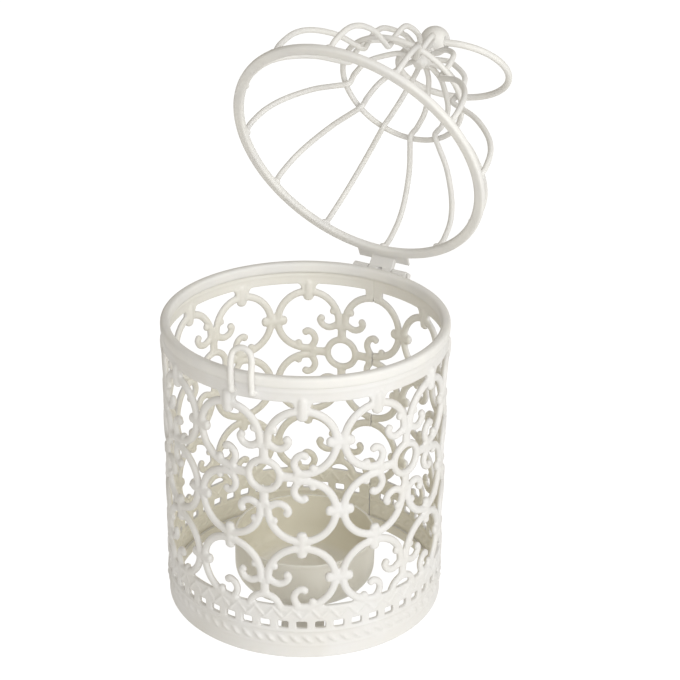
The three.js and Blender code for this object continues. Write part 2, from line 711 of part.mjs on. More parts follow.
// Hinge pieces, built with X along the pin, Y away from the cage's axis
function bodyLeaf() {
  const inside = WALL_RADIUS + SEAT_GAP;
  const outside = inside + LEAF_THICKNESS;
  const half = HINGE_LENGTH / 2;
  const top = WALL_HEIGHT - SEAT_GAP;
  const bottom = PIN_HEIGHT - BODY_LEAF_HEIGHT;
  const sheet = [[inside, bottom], [outside, bottom], [outside, top], [inside, top]];
  const parts = [prismAlongX(sheet, -half, half)];
  const cheek = HINGE_MIDDLE / 2 + HINGE_SIDE_GAP;
  for (const [x0, x1] of [[-half, -cheek], [cheek, half]]) {
    parts.push(barAlongX(KNUCKLE_RADIUS, x0, x1, HINGE_RADIUS, PIN_HEIGHT));
    parts.push(prismAlongX([
      [inside + 0.1, top - 2 * LEAF_THICKNESS],
      [outside, top - 2 * LEAF_THICKNESS],
      [HINGE_RADIUS + 0.4 * KNUCKLE_RADIUS, PIN_HEIGHT - 0.85 * KNUCKLE_RADIUS],
      [HINGE_RADIUS - 0.85 * KNUCKLE_RADIUS, PIN_HEIGHT],
      [outside, top - 0.1],
      [inside + 0.1, top - 0.1],
    ], x0, x1));
  }
  const bore = barAlongX(PIN_RADIUS + PIN_CLEARANCE, -half - 1, half + 1, HINGE_RADIUS, PIN_HEIGHT);
  return toGeometry(joinAll(parts).subtract(bore));
}

// The lid's leaf: flat wings level with the lid ring, and a neck down to the middle knuckle
function lidLeaf() {
  const inner = LID_RING_RADIUS + SEAT_GAP;
  const outer = inner + LID_LEAF_REACH;
  const low = LID_RING_MIDDLE - SEAT_GAP;
  const high = low + LEAF_THICKNESS;
  const wide = LID_LEAF_WIDTH / 2;
  const neck = HINGE_MIDDLE / 2;
  const parts = [
    prismAlongX([[inner, low], [outer, low], [outer, high], [inner, high]], -wide, wide),
    prismAlongX([
      [inner + 0.3 * LID_LEAF_REACH, low],
      [HINGE_RADIUS - 0.85 * KNUCKLE_RADIUS, PIN_HEIGHT],
      [HINGE_RADIUS + 0.85 * KNUCKLE_RADIUS, PIN_HEIGHT + 0.2 * KNUCKLE_RADIUS],
      [outer, high],
      [inner + 0.3 * LID_LEAF_REACH, high],
    ], -neck, neck),
    barAlongX(KNUCKLE_RADIUS, -neck, neck, HINGE_RADIUS, PIN_HEIGHT),
  ];
  const bore = barAlongX(PIN_RADIUS + PIN_CLEARANCE, -neck - 1, neck + 1, HINGE_RADIUS, PIN_HEIGHT);
  return toGeometry(joinAll(parts).subtract(bore));
}

function hingePin() {
  const half = HINGE_LENGTH / 2;
  const head = half + SEAT_GAP;
  const parts = [
    barAlongX(PIN_RADIUS, -half - 0.2, head + 0.1, HINGE_RADIUS, PIN_HEIGHT),
    barAlongX(PIN_HEAD_RADIUS, head, head + PIN_HEAD_LENGTH, HINGE_RADIUS, PIN_HEIGHT),
  ];
  return toGeometry(joinAll(parts));
}

// Lid pieces, in the closed lid's place
function lidRing() {
  const inner = LID_RING_RADIUS - LID_RING_WIDTH;
  const corner = LID_RING_HEIGHT / 4;
  return turned(hoopProfile(inner, LID_RING_RADIUS, LID_RING_BOTTOM, LID_RING_TOP, corner), HOOP_STEPS);
}

// A rib is one wire in two tiers: out over the lid ring, in to the valley under the crown
// ring, out again, and over the top to the hub
function ribProfile() {
  const foot = LID_RING_HEIGHT / 2 + SEAT_GAP;
  const endRadius = HUB_RADIUS + SEAT_GAP;
  const lower = (t) => {
    const a = t * (Math.PI / 2);
    const r = VALLEY_RADIUS + 4 + (SHOULDER_RADIUS - VALLEY_RADIUS - 4) * Math.cos(a);
    return [r, SHOULDER_HEIGHT + (VALLEY_HEIGHT - 1.7 - SHOULDER_HEIGHT) * Math.sin(a)];
  };
  const upper = (t) => {
    const a = t * (Math.PI / 2);
    const r = endRadius + 2.4 + (CROWN_BULGE_RADIUS - endRadius - 2.4) * Math.cos(a);
    return [r, CROWN_BULGE_HEIGHT + (CROWN_TOP_HEIGHT - CROWN_BULGE_HEIGHT) * Math.sin(a)];
  };
  return [
    [RIB_FOOT_RADIUS, foot],
    ...[0, 0.25, 0.5, 0.75, 1].map(lower),
    [VALLEY_RADIUS, VALLEY_HEIGHT],
    ...[0, 0.35, 0.7, 1].map(upper),
    [endRadius, CROWN_TOP_HEIGHT - HUB_DROP],
  ];
}

function rib(index) {
  const azimuth = (2 * Math.PI * index) / RIBS;
  const points = ribProfile().map(([r, z]) => new THREE.Vector3(
    r * Math.sin(azimuth),
    -r * Math.cos(azimuth),
    LID_RING_MIDDLE + z,
  ));
  return wire(points, RIB_WIRE_RADIUS, RIB_STEPS);
}

function crownRing() {
  const radius = VALLEY_RADIUS + RIB_WIRE_RADIUS + SEAT_GAP + CROWN_RING_WIRE_RADIUS;
  const height = LID_RING_MIDDLE + VALLEY_HEIGHT + CROWN_RING_RISE;
  return turned(circleProfile(radius, height, CROWN_RING_WIRE_RADIUS), 36);
}

function crownHub() {
  const high = LID_RING_MIDDLE + HUB_TOP;
  const low = high - HUB_THICKNESS;
  const postTop = high + FINIAL_POST_LENGTH;
  const points = [
    [0, low - HUB_STEM_LENGTH],
    [HUB_STEM_RADIUS, low - HUB_STEM_LENGTH],
    [HUB_STEM_RADIUS + 0.2, low - 0.8],
    [HUB_RADIUS, low],
    [HUB_RADIUS, high - 0.6],
    [0.6 * HUB_RADIUS, high],
    [FINIAL_POST_RADIUS, high + 0.3],
    [FINIAL_POST_RADIUS, postTop],
    [0, postTop],
  ];
  return turned(profile(points), 18);
}

// The hole's frame: X along the hole, Y from the ball towards the ring's middle
function handleFrame() {
  const azimuth = radians(HANDLE_AZIMUTH);
  const level = new THREE.Vector3(Math.sin(azimuth), -Math.cos(azimuth), 0);
  const side = new THREE.Vector3(level.y, -level.x, 0);
  const up = new THREE.Vector3(0, 0, 1);
  const tip = radians(HANDLE_TIP);
  const along = level.clone().multiplyScalar(Math.cos(tip)).addScaledVector(up, Math.sin(tip));
  const rise = level.clone().multiplyScalar(-Math.sin(tip)).addScaledVector(up, Math.cos(tip));
  const lean = radians(HANDLE_LEAN);
  const out = side.clone().multiplyScalar(Math.cos(lean)).addScaledVector(rise, Math.sin(lean));
  const frame = new THREE.Matrix4().makeBasis(along, out, along.clone().cross(out));
  frame.setPosition(0, 0, LID_RING_MIDDLE + BALL_HEIGHT - BORE_DROP);
  return frame;
}

function ballFinial() {
  const steps = 9;
  const seat = Math.asin(BALL_SEAT_RADIUS / BALL_RADIUS);
  const points = [new THREE.Vector2(0, -BALL_RADIUS * Math.cos(seat))];
  for (let i = 0; i < steps; i++) {
    const a = seat + ((Math.PI - seat) * i) / steps;
    points.push(new THREE.Vector2(BALL_RADIUS * Math.sin(a), -BALL_RADIUS * Math.cos(a)));
  }
  points.push(new THREE.Vector2(0, BALL_RADIUS));
  const ball = turned(points, 18);
  ball.translate(0, 0, LID_RING_MIDDLE + BALL_HEIGHT);
  const throat = HANDLE_WIRE_RADIUS + BORE_CLEARANCE;
  const bow = HANDLE_RADIUS - Math.sqrt(HANDLE_RADIUS ** 2 - BALL_RADIUS ** 2);
  const reach = BALL_RADIUS + 1;
  const mouth = throat + bow * (reach / BALL_RADIUS) ** 2;
  const half = throat + 0.25 * bow;
  const bore = turned(profile([
    [0, -reach],
    [mouth, -reach],
    [half, -reach / 2],
    [throat, 0],
    [half, reach / 2],
    [mouth, reach],
    [0, reach],
  ]), 14);
  bore.rotateY(Math.PI / 2);
  bore.applyMatrix4(handleFrame());
  return toGeometry(toSolid(ball).subtract(toSolid(bore)));
}

function handleRing() {
  const ring = turned(circleProfile(HANDLE_RADIUS, 0, HANDLE_WIRE_RADIUS), 40);
  ring.translate(0, HANDLE_RADIUS, 0);
  ring.applyMatrix4(handleFrame());
  return ring;
}

// Scene graph
const paint = () => new THREE.MeshStandardMaterial({ color: 0xece9e2, roughness: 0.45, metalness: 0 });
const lantern = new THREE.Group();
lantern.name = "birdcage_lantern";

function addMesh(parent, name, geometry) {
  const mesh = new THREE.Mesh(geometry, paint());
  mesh.name = name;
  parent.add(mesh);
  return mesh;
}

function turnedTo(azimuth) {
  const group = new THREE.Group();
  group.rotation.z = radians(azimuth) - Math.PI;
  lantern.add(group);
  return group;
}

addMesh(lantern, "cage_wall", rolled(flatWall()));
addMesh(lantern, "rim_bead", rimBead());
addMesh(lantern, "foot_hoop", footHoop());
addMesh(lantern, "base_strap", baseStrap());
addMesh(lantern, "tealight_cup", tealightCup());
addMesh(lantern, "cup_rivet_front", cupRivet(-1));
addMesh(lantern, "cup_rivet_back", cupRivet(1));
addMesh(turnedTo(LATCH_AZIMUTH), "latch_loop", latchLoop());

const hingeSide = turnedTo(HINGE_AZIMUTH);
addMesh(hingeSide, "hinge_body_leaf", bodyLeaf());
addMesh(hingeSide, "hinge_pin", hingePin());

// The lid turns about the pin: out to the hinge, over, and back to its own place
const azimuth = radians(HINGE_AZIMUTH);
const hingePoint = new THREE.Vector3(
  HINGE_RADIUS * Math.sin(azimuth),
  -HINGE_RADIUS * Math.cos(azimuth),
  PIN_HEIGHT,
);
const hingeAxis = new THREE.Vector3(Math.cos(azimuth), Math.sin(azimuth), 0);
const lidPivot = new THREE.Group();
lidPivot.position.copy(hingePoint);
lidPivot.quaternion.setFromAxisAngle(hingeAxis, radians(LID_OPEN_ANGLE));
const lid = new THREE.Group();
lid.position.copy(hingePoint).negate();
lidPivot.add(lid);
lantern.add(lidPivot);

const lidHinge = new THREE.Group();
lidHinge.rotation.z = azimuth - Math.PI;
lid.add(lidHinge);
addMesh(lidHinge, "hinge_lid_leaf", lidLeaf());
addMesh(lid, "lid_ring", lidRing());
for (let i = 0; i < RIBS; i++) {
  addMesh(lid, `lid_rib_${String(i + 1).padStart(2, "0")}`, rib(i));
}
addMesh(lid, "crown_ring", crownRing());
addMesh(lid, "crown_hub", crownHub());
addMesh(lid, "ball_finial", ballFinial());
addMesh(lid, "handle_ring", handleRing());

export default lantern;
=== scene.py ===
# %% [markdown]
# # A birdcage lantern for one tealight
# The real lantern is a strip of stamped metal lace rolled into a cage, with a domed lid of
# bent wire on a small pin hinge. Everything wears one thick coat of cream paint.
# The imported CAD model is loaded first. It fixes every size and every joint, and each piece
# that is modelled below stands where its CAD solid stands and moves with the same body.

# %% Load the frame
import json
import math
import bpy
import numpy as np
from mathutils import Matrix, Vector


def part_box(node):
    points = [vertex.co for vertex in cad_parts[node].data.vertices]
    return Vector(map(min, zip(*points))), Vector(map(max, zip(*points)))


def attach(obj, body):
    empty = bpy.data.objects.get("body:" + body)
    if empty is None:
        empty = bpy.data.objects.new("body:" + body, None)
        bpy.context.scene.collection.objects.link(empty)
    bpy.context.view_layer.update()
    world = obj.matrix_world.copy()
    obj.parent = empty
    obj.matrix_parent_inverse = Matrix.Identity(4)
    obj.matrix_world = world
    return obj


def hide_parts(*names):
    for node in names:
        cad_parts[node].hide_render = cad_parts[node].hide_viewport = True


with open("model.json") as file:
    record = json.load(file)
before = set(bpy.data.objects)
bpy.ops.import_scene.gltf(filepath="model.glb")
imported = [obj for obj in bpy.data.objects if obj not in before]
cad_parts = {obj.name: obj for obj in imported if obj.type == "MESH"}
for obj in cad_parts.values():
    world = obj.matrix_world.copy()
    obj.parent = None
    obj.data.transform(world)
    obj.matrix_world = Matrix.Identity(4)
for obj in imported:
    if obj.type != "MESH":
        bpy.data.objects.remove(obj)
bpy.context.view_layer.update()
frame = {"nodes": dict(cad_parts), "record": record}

# %% [markdown]
# ## Sizes
# The sizes are in millimetres, as a maker would write them, and follow the CAD solids.
# The lid was measured closed, and is then swung open about its hinge, so the hinge's place
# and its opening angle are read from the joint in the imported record.

# %% Sizes of the cage and of the lid
COLUMNS, ROWS = 12, 3
WALL_RADIUS, WALL_THICKNESS = 39.4, 1.4
WALL_MIDDLE = WALL_RADIUS - WALL_THICKNESS / 2
WALL_INSIDE = WALL_RADIUS - WALL_THICKNESS
ROW_PITCH = 20.5
COLUMN_PITCH = 2 * math.pi * WALL_RADIUS / COLUMNS
LOWER_BAND, LOWER_LAP, BRIDGE, UPPER_BAND = 16.3, 1.4, 1.6, 3.6
PATTERN_TOP = LOWER_BAND - LOWER_LAP + ROWS * ROW_PITCH
UPPER_BOTTOM = PATTERN_TOP + BRIDGE
WALL_TOP = UPPER_BOTTOM + UPPER_BAND
SEAT_GAP = 0.3
RIM_WIDTH, RIM_HEIGHT, RIM_INSET = 2.6, 3.1, 0.3
RIM_RADIUS = WALL_MIDDLE - RIM_INSET
RIM_OUTSIDE = RIM_RADIUS + RIM_WIDTH / 2
RIM_BOTTOM = WALL_TOP + SEAT_GAP
RIM_TOP = RIM_BOTTOM + RIM_HEIGHT
LID_RING_OVERHANG, LID_RING_WIDTH, LID_RING_HEIGHT = 0.3, 2.95, 2.0
LID_RING_RADIUS = RIM_RADIUS + LID_RING_OVERHANG
LID_MIDDLE = RIM_TOP + SEAT_GAP + LID_RING_HEIGHT / 2
print(f"wall {WALL_TOP:.1f} mm tall, rim top {RIM_TOP:.1f} mm, column pitch {COLUMN_PITCH:.2f} mm")

# %% The hinge, from the record
joints = {joint["name"]: joint for joint in frame["record"]["behaviour"]["joints"]}
hinge = joints["lid_hinge"]
hinge_point = Vector(hinge["pos_m"])
open_angle = math.radians(-hinge["range_deg"][0])
lid_open = (Matrix.Translation(hinge_point)
            @ Matrix.Rotation(open_angle, 4, Vector(hinge["axis"]))
            @ Matrix.Translation(-hinge_point))
HINGE_RADIUS = 1000 * math.hypot(hinge_point.x, hinge_point.y)
PIN_HEIGHT = 1000 * hinge_point.z
HINGE_AZIMUTH = math.atan2(hinge_point.x, -hinge_point.y)
print(f"hinge {math.degrees(HINGE_AZIMUTH):.1f} degrees round")
print(f"pin at radius {HINGE_RADIUS:.1f} mm, height {PIN_HEIGHT:.1f} mm")

# %% [markdown]
# ## The paint
# The real finish is a powder coat: thick, satin, and slightly uneven, with a soft
# orange-peel skin and a warmer tone where it has pooled. Its effects are built once as node
# groups, so that each material can place them with its own values. The first gives the
# coat's colour and gloss, and the second its surface. Bumps in object coordinates are used
# because they need no unwrapping and stay on the metal when the lid moves.

# %% Node group for the colour of a thick coat
def new_group(name, inputs, outputs):
    group = bpy.data.node_groups.new(name, "ShaderNodeTree")
    for label, kind, value in inputs:
        socket = group.interface.new_socket(label, in_out="INPUT", socket_type=kind)
        socket.default_value = value
    for label, kind in outputs:
        group.interface.new_socket(label, in_out="OUTPUT", socket_type=kind)
    return group, group.nodes.new("NodeGroupInput"), group.nodes.new("NodeGroupOutput")


def coat_tone_group():
    group, given, out = new_group(
        "coat_tone",
        [("Colour", "NodeSocketColor", (0.8, 0.8, 0.8, 1)),
         ("Pooled Colour", "NodeSocketColor", (0.7, 0.7, 0.6, 1)),
         ("Patch Scale", "NodeSocketFloat", 60.0),
         ("Gloss Low", "NodeSocketFloat", 0.4),
         ("Gloss High", "NodeSocketFloat", 0.5)],
        [("Colour", "NodeSocketColor"), ("Roughness", "NodeSocketFloat")])
    nodes, link = group.nodes, group.links.new
    place = nodes.new("ShaderNodeTexCoord")
    patches = nodes.new("ShaderNodeTexNoise")
    patches.inputs["Detail"].default_value = 3.0
    link(place.outputs["Object"], patches.inputs["Vector"])
    link(given.outputs["Patch Scale"], patches.inputs["Scale"])
    spread = nodes.new("ShaderNodeMapRange")
    spread.inputs["From Min"].default_value = 0.35
    spread.inputs["From Max"].default_value = 0.75
    link(patches.outputs["Fac"], spread.inputs["Value"])
    tone = nodes.new("ShaderNodeMix")
    tone.data_type = "RGBA"
    link(spread.outputs["Result"], tone.inputs["Factor"])
    link(given.outputs["Colour"], tone.inputs["A"])
    link(given.outputs["Pooled Colour"], tone.inputs["B"])
    gloss = nodes.new("ShaderNodeMapRange")
    link(patches.outputs["Fac"], gloss.inputs["Value"])
    link(given.outputs["Gloss Low"], gloss.inputs["To Min"])
    link(given.outputs["Gloss High"], gloss.inputs["To Max"])
    link(tone.outputs["Result"], out.inputs["Colour"])
    link(gloss.outputs["Result"], out.inputs["Roughness"])
    return group


coat_tone = coat_tone_group()
print("group", coat_tone.name, [socket.name for socket in coat_tone.interface.items_tree])

# %% Node group for the skin of a thick coat
def coat_skin_group():
    group, given, out = new_group(
        "coat_skin",
        [("Peel Scale", "NodeSocketFloat", 1400.0),
         ("Peel Height", "NodeSocketFloat", 0.00002),
         ("Wave Scale", "NodeSocketFloat", 240.0),
         ("Wave Height", "NodeSocketFloat", 0.00006)],
        [("Normal", "NodeSocketVector")])
    nodes, link = group.nodes, group.links.new
    place = nodes.new("ShaderNodeTexCoord")
    last = None
    for size in ("Wave", "Peel"):
        noise = nodes.new("ShaderNodeTexNoise")
        noise.inputs["Detail"].default_value = 2.0
        bump = nodes.new("ShaderNodeBump")
        link(place.outputs["Object"], noise.inputs["Vector"])
        link(given.outputs[f"{size} Scale"], noise.inputs["Scale"])
        link(noise.outputs["Fac"], bump.inputs["Height"])
        link(given.outputs[f"{size} Height"], bump.inputs["Distance"])
        if last:
            link(last.outputs["Normal"], bump.inputs["Normal"])
        last = bump
    link(last.outputs["Normal"], out.inputs["Normal"])
    return group


coat_skin = coat_skin_group()
print("group", coat_skin.name, [socket.name for socket in coat_skin.interface.items_tree])

# %% [markdown]
# The inside of the cage looks warmer than its outside, and most of all near the foot. Part
# of that is cream light thrown from wall to wall, and part is the coat's own tone. Both are
# painted into the colour: a mask finds the faces that look towards the cage's axis, and fades
# with height, so that the painted bounce light and the tone can be laid on inside without a
# second material.

# %% Node group for the cage's inner side
def inner_side_group():
    group, given, out = new_group(
        "inner_side",
        [("Full Height", "NodeSocketFloat", 0.01),
         ("Faint Height", "NodeSocketFloat", 0.075),
         ("Faint Share", "NodeSocketFloat", 0.35)],
        [("Mask", "NodeSocketFloat")])
    nodes, link = group.nodes, group.links.new
    place = nodes.new("ShaderNodeTexCoord")
    level = nodes.new("ShaderNodeVectorMath")
    level.operation = "MULTIPLY"
    level.inputs[1].default_value = (1, 1, 0)
    away = nodes.new("ShaderNodeVectorMath")
    away.operation = "NORMALIZE"
    facing = nodes.new("ShaderNodeVectorMath")
    facing.operation = "DOT_PRODUCT"
    inward = nodes.new("ShaderNodeMapRange")
    inward.inputs["From Min"].default_value = -0.1
    inward.inputs["From Max"].default_value = -0.6
    parts = nodes.new("ShaderNodeSeparateXYZ")
    fade = nodes.new("ShaderNodeMapRange")
    fade.inputs["To Min"].default_value = 1.0
    both = nodes.new("ShaderNodeMath")
    both.operation = "MULTIPLY"
    link(place.outputs["Object"], level.inputs[0])
    link(level.outputs[0], away.inputs[0])
    link(away.outputs[0], facing.inputs[0])
    link(place.outputs["Normal"], facing.inputs[1])
    link(facing.outputs["Value"], inward.inputs["Value"])
    link(place.outputs["Object"], parts.inputs[0])
    link(parts.outputs["Z"], fade.inputs["Value"])
    link(given.outputs["Full Height"], fade.inputs["From Min"])
    link(given.outputs["Faint Height"], fade.inputs["From Max"])
    link(given.outputs["Faint Share"], fade.inputs["To Max"])
    link(inward.outputs["Result"], both.inputs[0])
    link(fade.outputs["Result"], both.inputs[1])
    link(both.outputs[0], out.inputs["Mask"])
    return group


inner_side = inner_side_group()
print("group", inner_side.name, [socket.name for socket in inner_side.interface.items_tree])

# %% The cream coat, for sheet metal, for wire and for the cup
def painted(name, colour, pooled, gloss, patch_scale, peel, wave, inner=None):
    material = bpy.data.materials.new(name)
    material.use_nodes = True
    nodes, link = material.node_tree.nodes, material.node_tree.links.new
    shader = nodes["Principled BSDF"]
    shader.inputs["IOR"].default_value = 1.5
    shader.inputs["Specular IOR Level"].default_value = 0.45
    tone = nodes.new("ShaderNodeGroup")
    tone.node_tree = coat_tone
    tone.inputs["Colour"].default_value = (*colour, 1)
    tone.inputs["Pooled Colour"].default_value = (*pooled, 1)
    tone.inputs["Patch Scale"].default_value = patch_scale
    tone.inputs["Gloss Low"].default_value, tone.inputs["Gloss High"].default_value = gloss
    skin = nodes.new("ShaderNodeGroup")
    skin.node_tree = coat_skin
    skin.inputs["Peel Height"].default_value = peel
    skin.inputs["Wave Height"].default_value = wave
    link(tone.outputs["Colour"], shader.inputs["Base Color"])
    # Faces that look towards the axis get a warmer colour: painted bounce light from wall to wall,
    # together with the coat's own tone.
    if inner is not None:
        mask = nodes.new("ShaderNodeGroup")
        mask.node_tree = inner_side
        warm = nodes.new("ShaderNodeMix")
        warm.data_type = "RGBA"
        link(mask.outputs["Mask"], warm.inputs["Factor"])
        link(tone.outputs["Colour"], warm.inputs["A"])
        warm.inputs["B"].default_value = (*inner, 1)
        link(warm.outputs["Result"], shader.inputs["Base Color"])
    link(tone.outputs["Roughness"], shader.inputs["Roughness"])
    link(skin.outputs["Normal"], shader.inputs["Normal"])
    return material


CREAM = (0.79, 0.78, 0.775)
WIRE_CREAM = (0.84, 0.826, 0.80)
POOLED = (0.77, 0.752, 0.725)
CUP_CREAM = (0.92, 0.905, 0.86)
CUP_POOLED = (0.91, 0.89, 0.83)
# Painted warm bounce light from wall to wall, together with the coat's own tone, for the faces that look
# inward.
BOUNCE_AND_TONE_INSIDE = (0.86, 0.825, 0.71)
lace_paint = painted("cream_on_lace", CREAM, POOLED, gloss=(0.4, 0.54), patch_scale=90.0,
                     peel=0.000008, wave=0.00005, inner=BOUNCE_AND_TONE_INSIDE)
wire_paint = painted("cream_on_wire", WIRE_CREAM, CREAM, gloss=(0.5, 0.62), patch_scale=120.0,
                     peel=0.000002, wave=0.000015)
cup_paint = painted("cream_on_cup", CUP_CREAM, CUP_POOLED, gloss=(0.42, 0.55), patch_scale=50.0,
                    peel=0.000012, wave=0.00004, inner=BOUNCE_AND_TONE_INSIDE)
print("paints:", lace_paint.name, wire_paint.name, cup_paint.name)

# %% [markdown]
# ## Making and placing a piece
# Each piece is a list of corners and faces in millimetres. One helper turns it into an
# object in metres, lets it ride on its CAD body, and hides the CAD solid it stands for.

# %% Piece helper
def piece(name, shape, body, nodes, material, turn=None):
    corners, faces = shape
    corners = np.asarray(corners, float) / 1000.0
    if turn is not None:
        turn = np.array(turn)
        corners = corners @ turn[:3, :3].T + turn[:3, 3]
    mesh = bpy.data.meshes.new(name)
    mesh.from_pydata(corners.tolist(), [], [tuple(face) for face in faces])
    mesh.polygons.foreach_set("use_smooth", np.ones(len(mesh.polygons), bool))
    mesh.materials.append(material)
    thing = bpy.data.objects.new(name, mesh)
    bpy.context.scene.collection.objects.link(thing)
    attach(thing, body)
    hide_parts(*nodes)
    print(f"{name}: {len(mesh.vertices)} corners on {body}")


def together(shapes):
    """Several shapes as one list of corners and one of faces."""
    corners, faces, count = [], [], 0
    for shape_corners, shape_faces in shapes:
        corners.append(np.asarray(shape_corners, float))
        faces += [[count + i for i in face] for face in shape_faces]
        count += len(shape_corners)
    return np.concatenate(corners), faces

# %% [markdown]
# Wire, strands of lace and turned parts cover almost the whole lantern, so each gets a
# helper. A wire is a round bar swept along a path with rounded ends. A strand is the same
# in the flat, wider than it is thick. A turned shape is an outline spun about the axis,
# with its corners rounded off first, because paint never leaves a sharp edge.

# %% Smooth paths
def smooth_path(points, steps):
    """A curve through all the points, with the given number of steps from one to the next."""
    points = np.asarray(points, float)
    ends = np.vstack([2 * points[0] - points[1], points, 2 * points[-1] - points[-2]])
    path = []
    for a, b, c, d in zip(ends[:-3], ends[1:-2], ends[2:-1], ends[3:]):
        for t in np.linspace(0, 1, steps, endpoint=False):
            path.append(0.5 * (2 * b + (c - a) * t + (2 * a - 5 * b + 4 * c - d) * t ** 2
                               + (3 * b - a - 3 * c + d) * t ** 3))
    path.append(points[-1])
    return np.array(path)


def tangents(path, closed=False):
    if closed:
        steps = np.roll(path, -1, 0) - np.roll(path, 1, 0)
    else:
        steps = np.gradient(path, axis=0)
    return steps / np.linalg.norm(steps, axis=1, keepdims=True)


print("a bend through 3 points becomes", len(smooth_path([(0, 0), (1, 1), (2, 0)], 8)), "points")

# %% Bars: a section swept along a path
def swept(path, sides_across, across, over, closed=False, round_ends=True):
    """across and over are unit vectors, and half widths, at every point of the path."""
    (u, half_u), (v, half_v) = across, over
    turn = np.linspace(0, 2 * math.pi, sides_across, endpoint=False)
    scale = np.ones(len(path))
    slide = np.zeros(len(path))
    if round_ends and not closed:
        cap = np.linspace(0, math.pi / 2, 5)[1:]
        path = np.vstack([path[:1]] * len(cap) + [path] + [path[-1:]] * len(cap))
        u, v, half_u, half_v = (
            np.concatenate([[value[0]] * len(cap), value, [value[-1]] * len(cap)])
            for value in (u, v, half_u, half_v))
        scale = np.concatenate([np.cos(cap)[::-1], scale, np.cos(cap)])
        slide = np.concatenate([-np.sin(cap)[::-1], slide, np.sin(cap)])
        scale = np.maximum(scale, 0.02)
    along = np.cross(u, v)
    onward = np.gradient(path + 1e-9 * along, axis=0)
    along *= np.sign(np.sum(along * onward, axis=1, keepdims=True) + 1e-12)
    if round_ends and not closed:
        middle = len(cap) + 1
        along[:middle] = along[middle]
        along[-middle:] = along[-middle - 1]
    centre = path + along * (slide * np.minimum(half_u, half_v))[:, None]
    rings = [centre + (scale * half_u * math.cos(a))[:, None] * u
             + (scale * half_v * math.sin(a))[:, None] * v for a in turn]
    corners = np.stack(rings, 1).reshape(-1, 3)
    faces, n, m = [], len(centre), sides_across
    for i in range(n if closed else n - 1):
        j = (i + 1) % n
        faces += [[i * m + k, i * m + (k + 1) % m, j * m + (k + 1) % m, j * m + k] for k in range(m)]
    if not closed:
        faces.append(list(range(m))[::-1])
        faces.append([(n - 1) * m + k for k in range(m)])
    return facing_out(corners, faces)


def facing_out(corners, faces):
    """The same shape, with its faces turned over if they look inward."""
    volume = 0.0
    for face in faces:
        a = corners[face[0]]
        for p, q in zip(face[1:-1], face[2:]):
            volume += np.dot(a, np.cross(corners[p], corners[q]))
    return corners, ([face[::-1] for face in faces] if volume < 0 else faces)


def strand(path, half_width, half_thick, depth=0.0, closed=False, round_ends=True):
    """A flat-lying bar: the path is along and up, and the thickness stands across the sheet."""
    path = np.column_stack([np.asarray(path, float), np.full(len(path), depth)])
    t = tangents(path, closed)
    side = np.column_stack([-t[:, 1], t[:, 0], np.zeros(len(path))])
    up = np.tile([0.0, 0.0, 1.0], (len(path), 1))
    widths = np.broadcast_to(np.asarray(half_width, float), len(path))
    thicks = np.broadcast_to(np.asarray(half_thick, float), len(path))
    return swept(path, 12, (side, widths), (up, thicks), closed, round_ends)


def wire(path, radius, sides):
    """A round bar: its section is carried along the path without twisting."""
    path = np.asarray(path, float)
    t = tangents(path)
    start = np.cross(t[0], [0.3, 0.5, 0.81])
    normals = [start / np.linalg.norm(start)]
    for here in t[1:]:
        turned_on = normals[-1] - here * np.dot(normals[-1], here)
        normals.append(turned_on / np.linalg.norm(turned_on))
    normals = np.array(normals)
    radii = np.full(len(path), float(radius))
    return swept(path, sides, (normals, radii), (np.cross(t, normals), radii))


print("a straight wire has", len(wire([(0, 0, 0), (5, 0, 0), (10, 0, 0)], 0.8, 16)[0]), "corners")

# %% Turned shapes
def rounded(outline, radius, steps=4, closed=False):
    """The outline with each corner replaced by a small arc."""
    points = [np.array(point, float) for point in outline]
    result = []
    for i, point in enumerate(points):
        if not closed and i in (0, len(points) - 1):
            result.append(point)
            continue
        before = points[i - 1] - point
        after = points[(i + 1) % len(points)] - point
        reach = min(radius, 0.45 * np.linalg.norm(before), 0.45 * np.linalg.norm(after))
        a = point + before / np.linalg.norm(before) * reach
        b = point + after / np.linalg.norm(after) * reach
        for t in np.linspace(0, 1, steps + 1):
            result.append((1 - t) ** 2 * a + 2 * t * (1 - t) * point + t ** 2 * b)
    return result


def turned(outline, steps=192, closed=False):
    """The outline (radius, height) spun about the axis; an open one starts and ends on it."""
    corners, faces, rows = [], [], []
    for r, z in outline:
        if r < 1e-6:
            rows.append([len(corners)])
            corners.append((0.0, 0.0, z))
            continue
        rows.append(list(range(len(corners), len(corners) + steps)))
        corners += [(r * math.cos(a), r * math.sin(a), z) for a in 2 * np.pi * np.arange(steps) / steps]
    if closed:
        rows.append(rows[0])
    for low, high in zip(rows[:-1], rows[1:]):
        for k in range(steps):
            j = (k + 1) % steps
            quad = [low[k % len(low)], low[j % len(low)], high[j % len(high)], high[k % len(high)]]
            face = list(dict.fromkeys(quad))
            if len(face) > 2:
                faces.append(face)
    return facing_out(np.array(corners), faces)


def circle(radius, height, bar, steps):
    """The outline of a round bar, ready to be spun into a ring."""
    return [(radius + bar * math.cos(a), height + bar * math.sin(a))
            for a in 2 * np.pi * np.arange(steps) / steps]


print("a ring has", len(turned(circle(10, 0, 1, 20), 128, closed=True)[0]), "corners")

# %% [markdown]
# Stamped lace, folded leaves and welds have no separate edges where their parts meet: metal
# and paint run together. The parts are therefore laid over each other and fused with a
# voxel remesh, and a few smoothing steps round the joints off as the coat does.

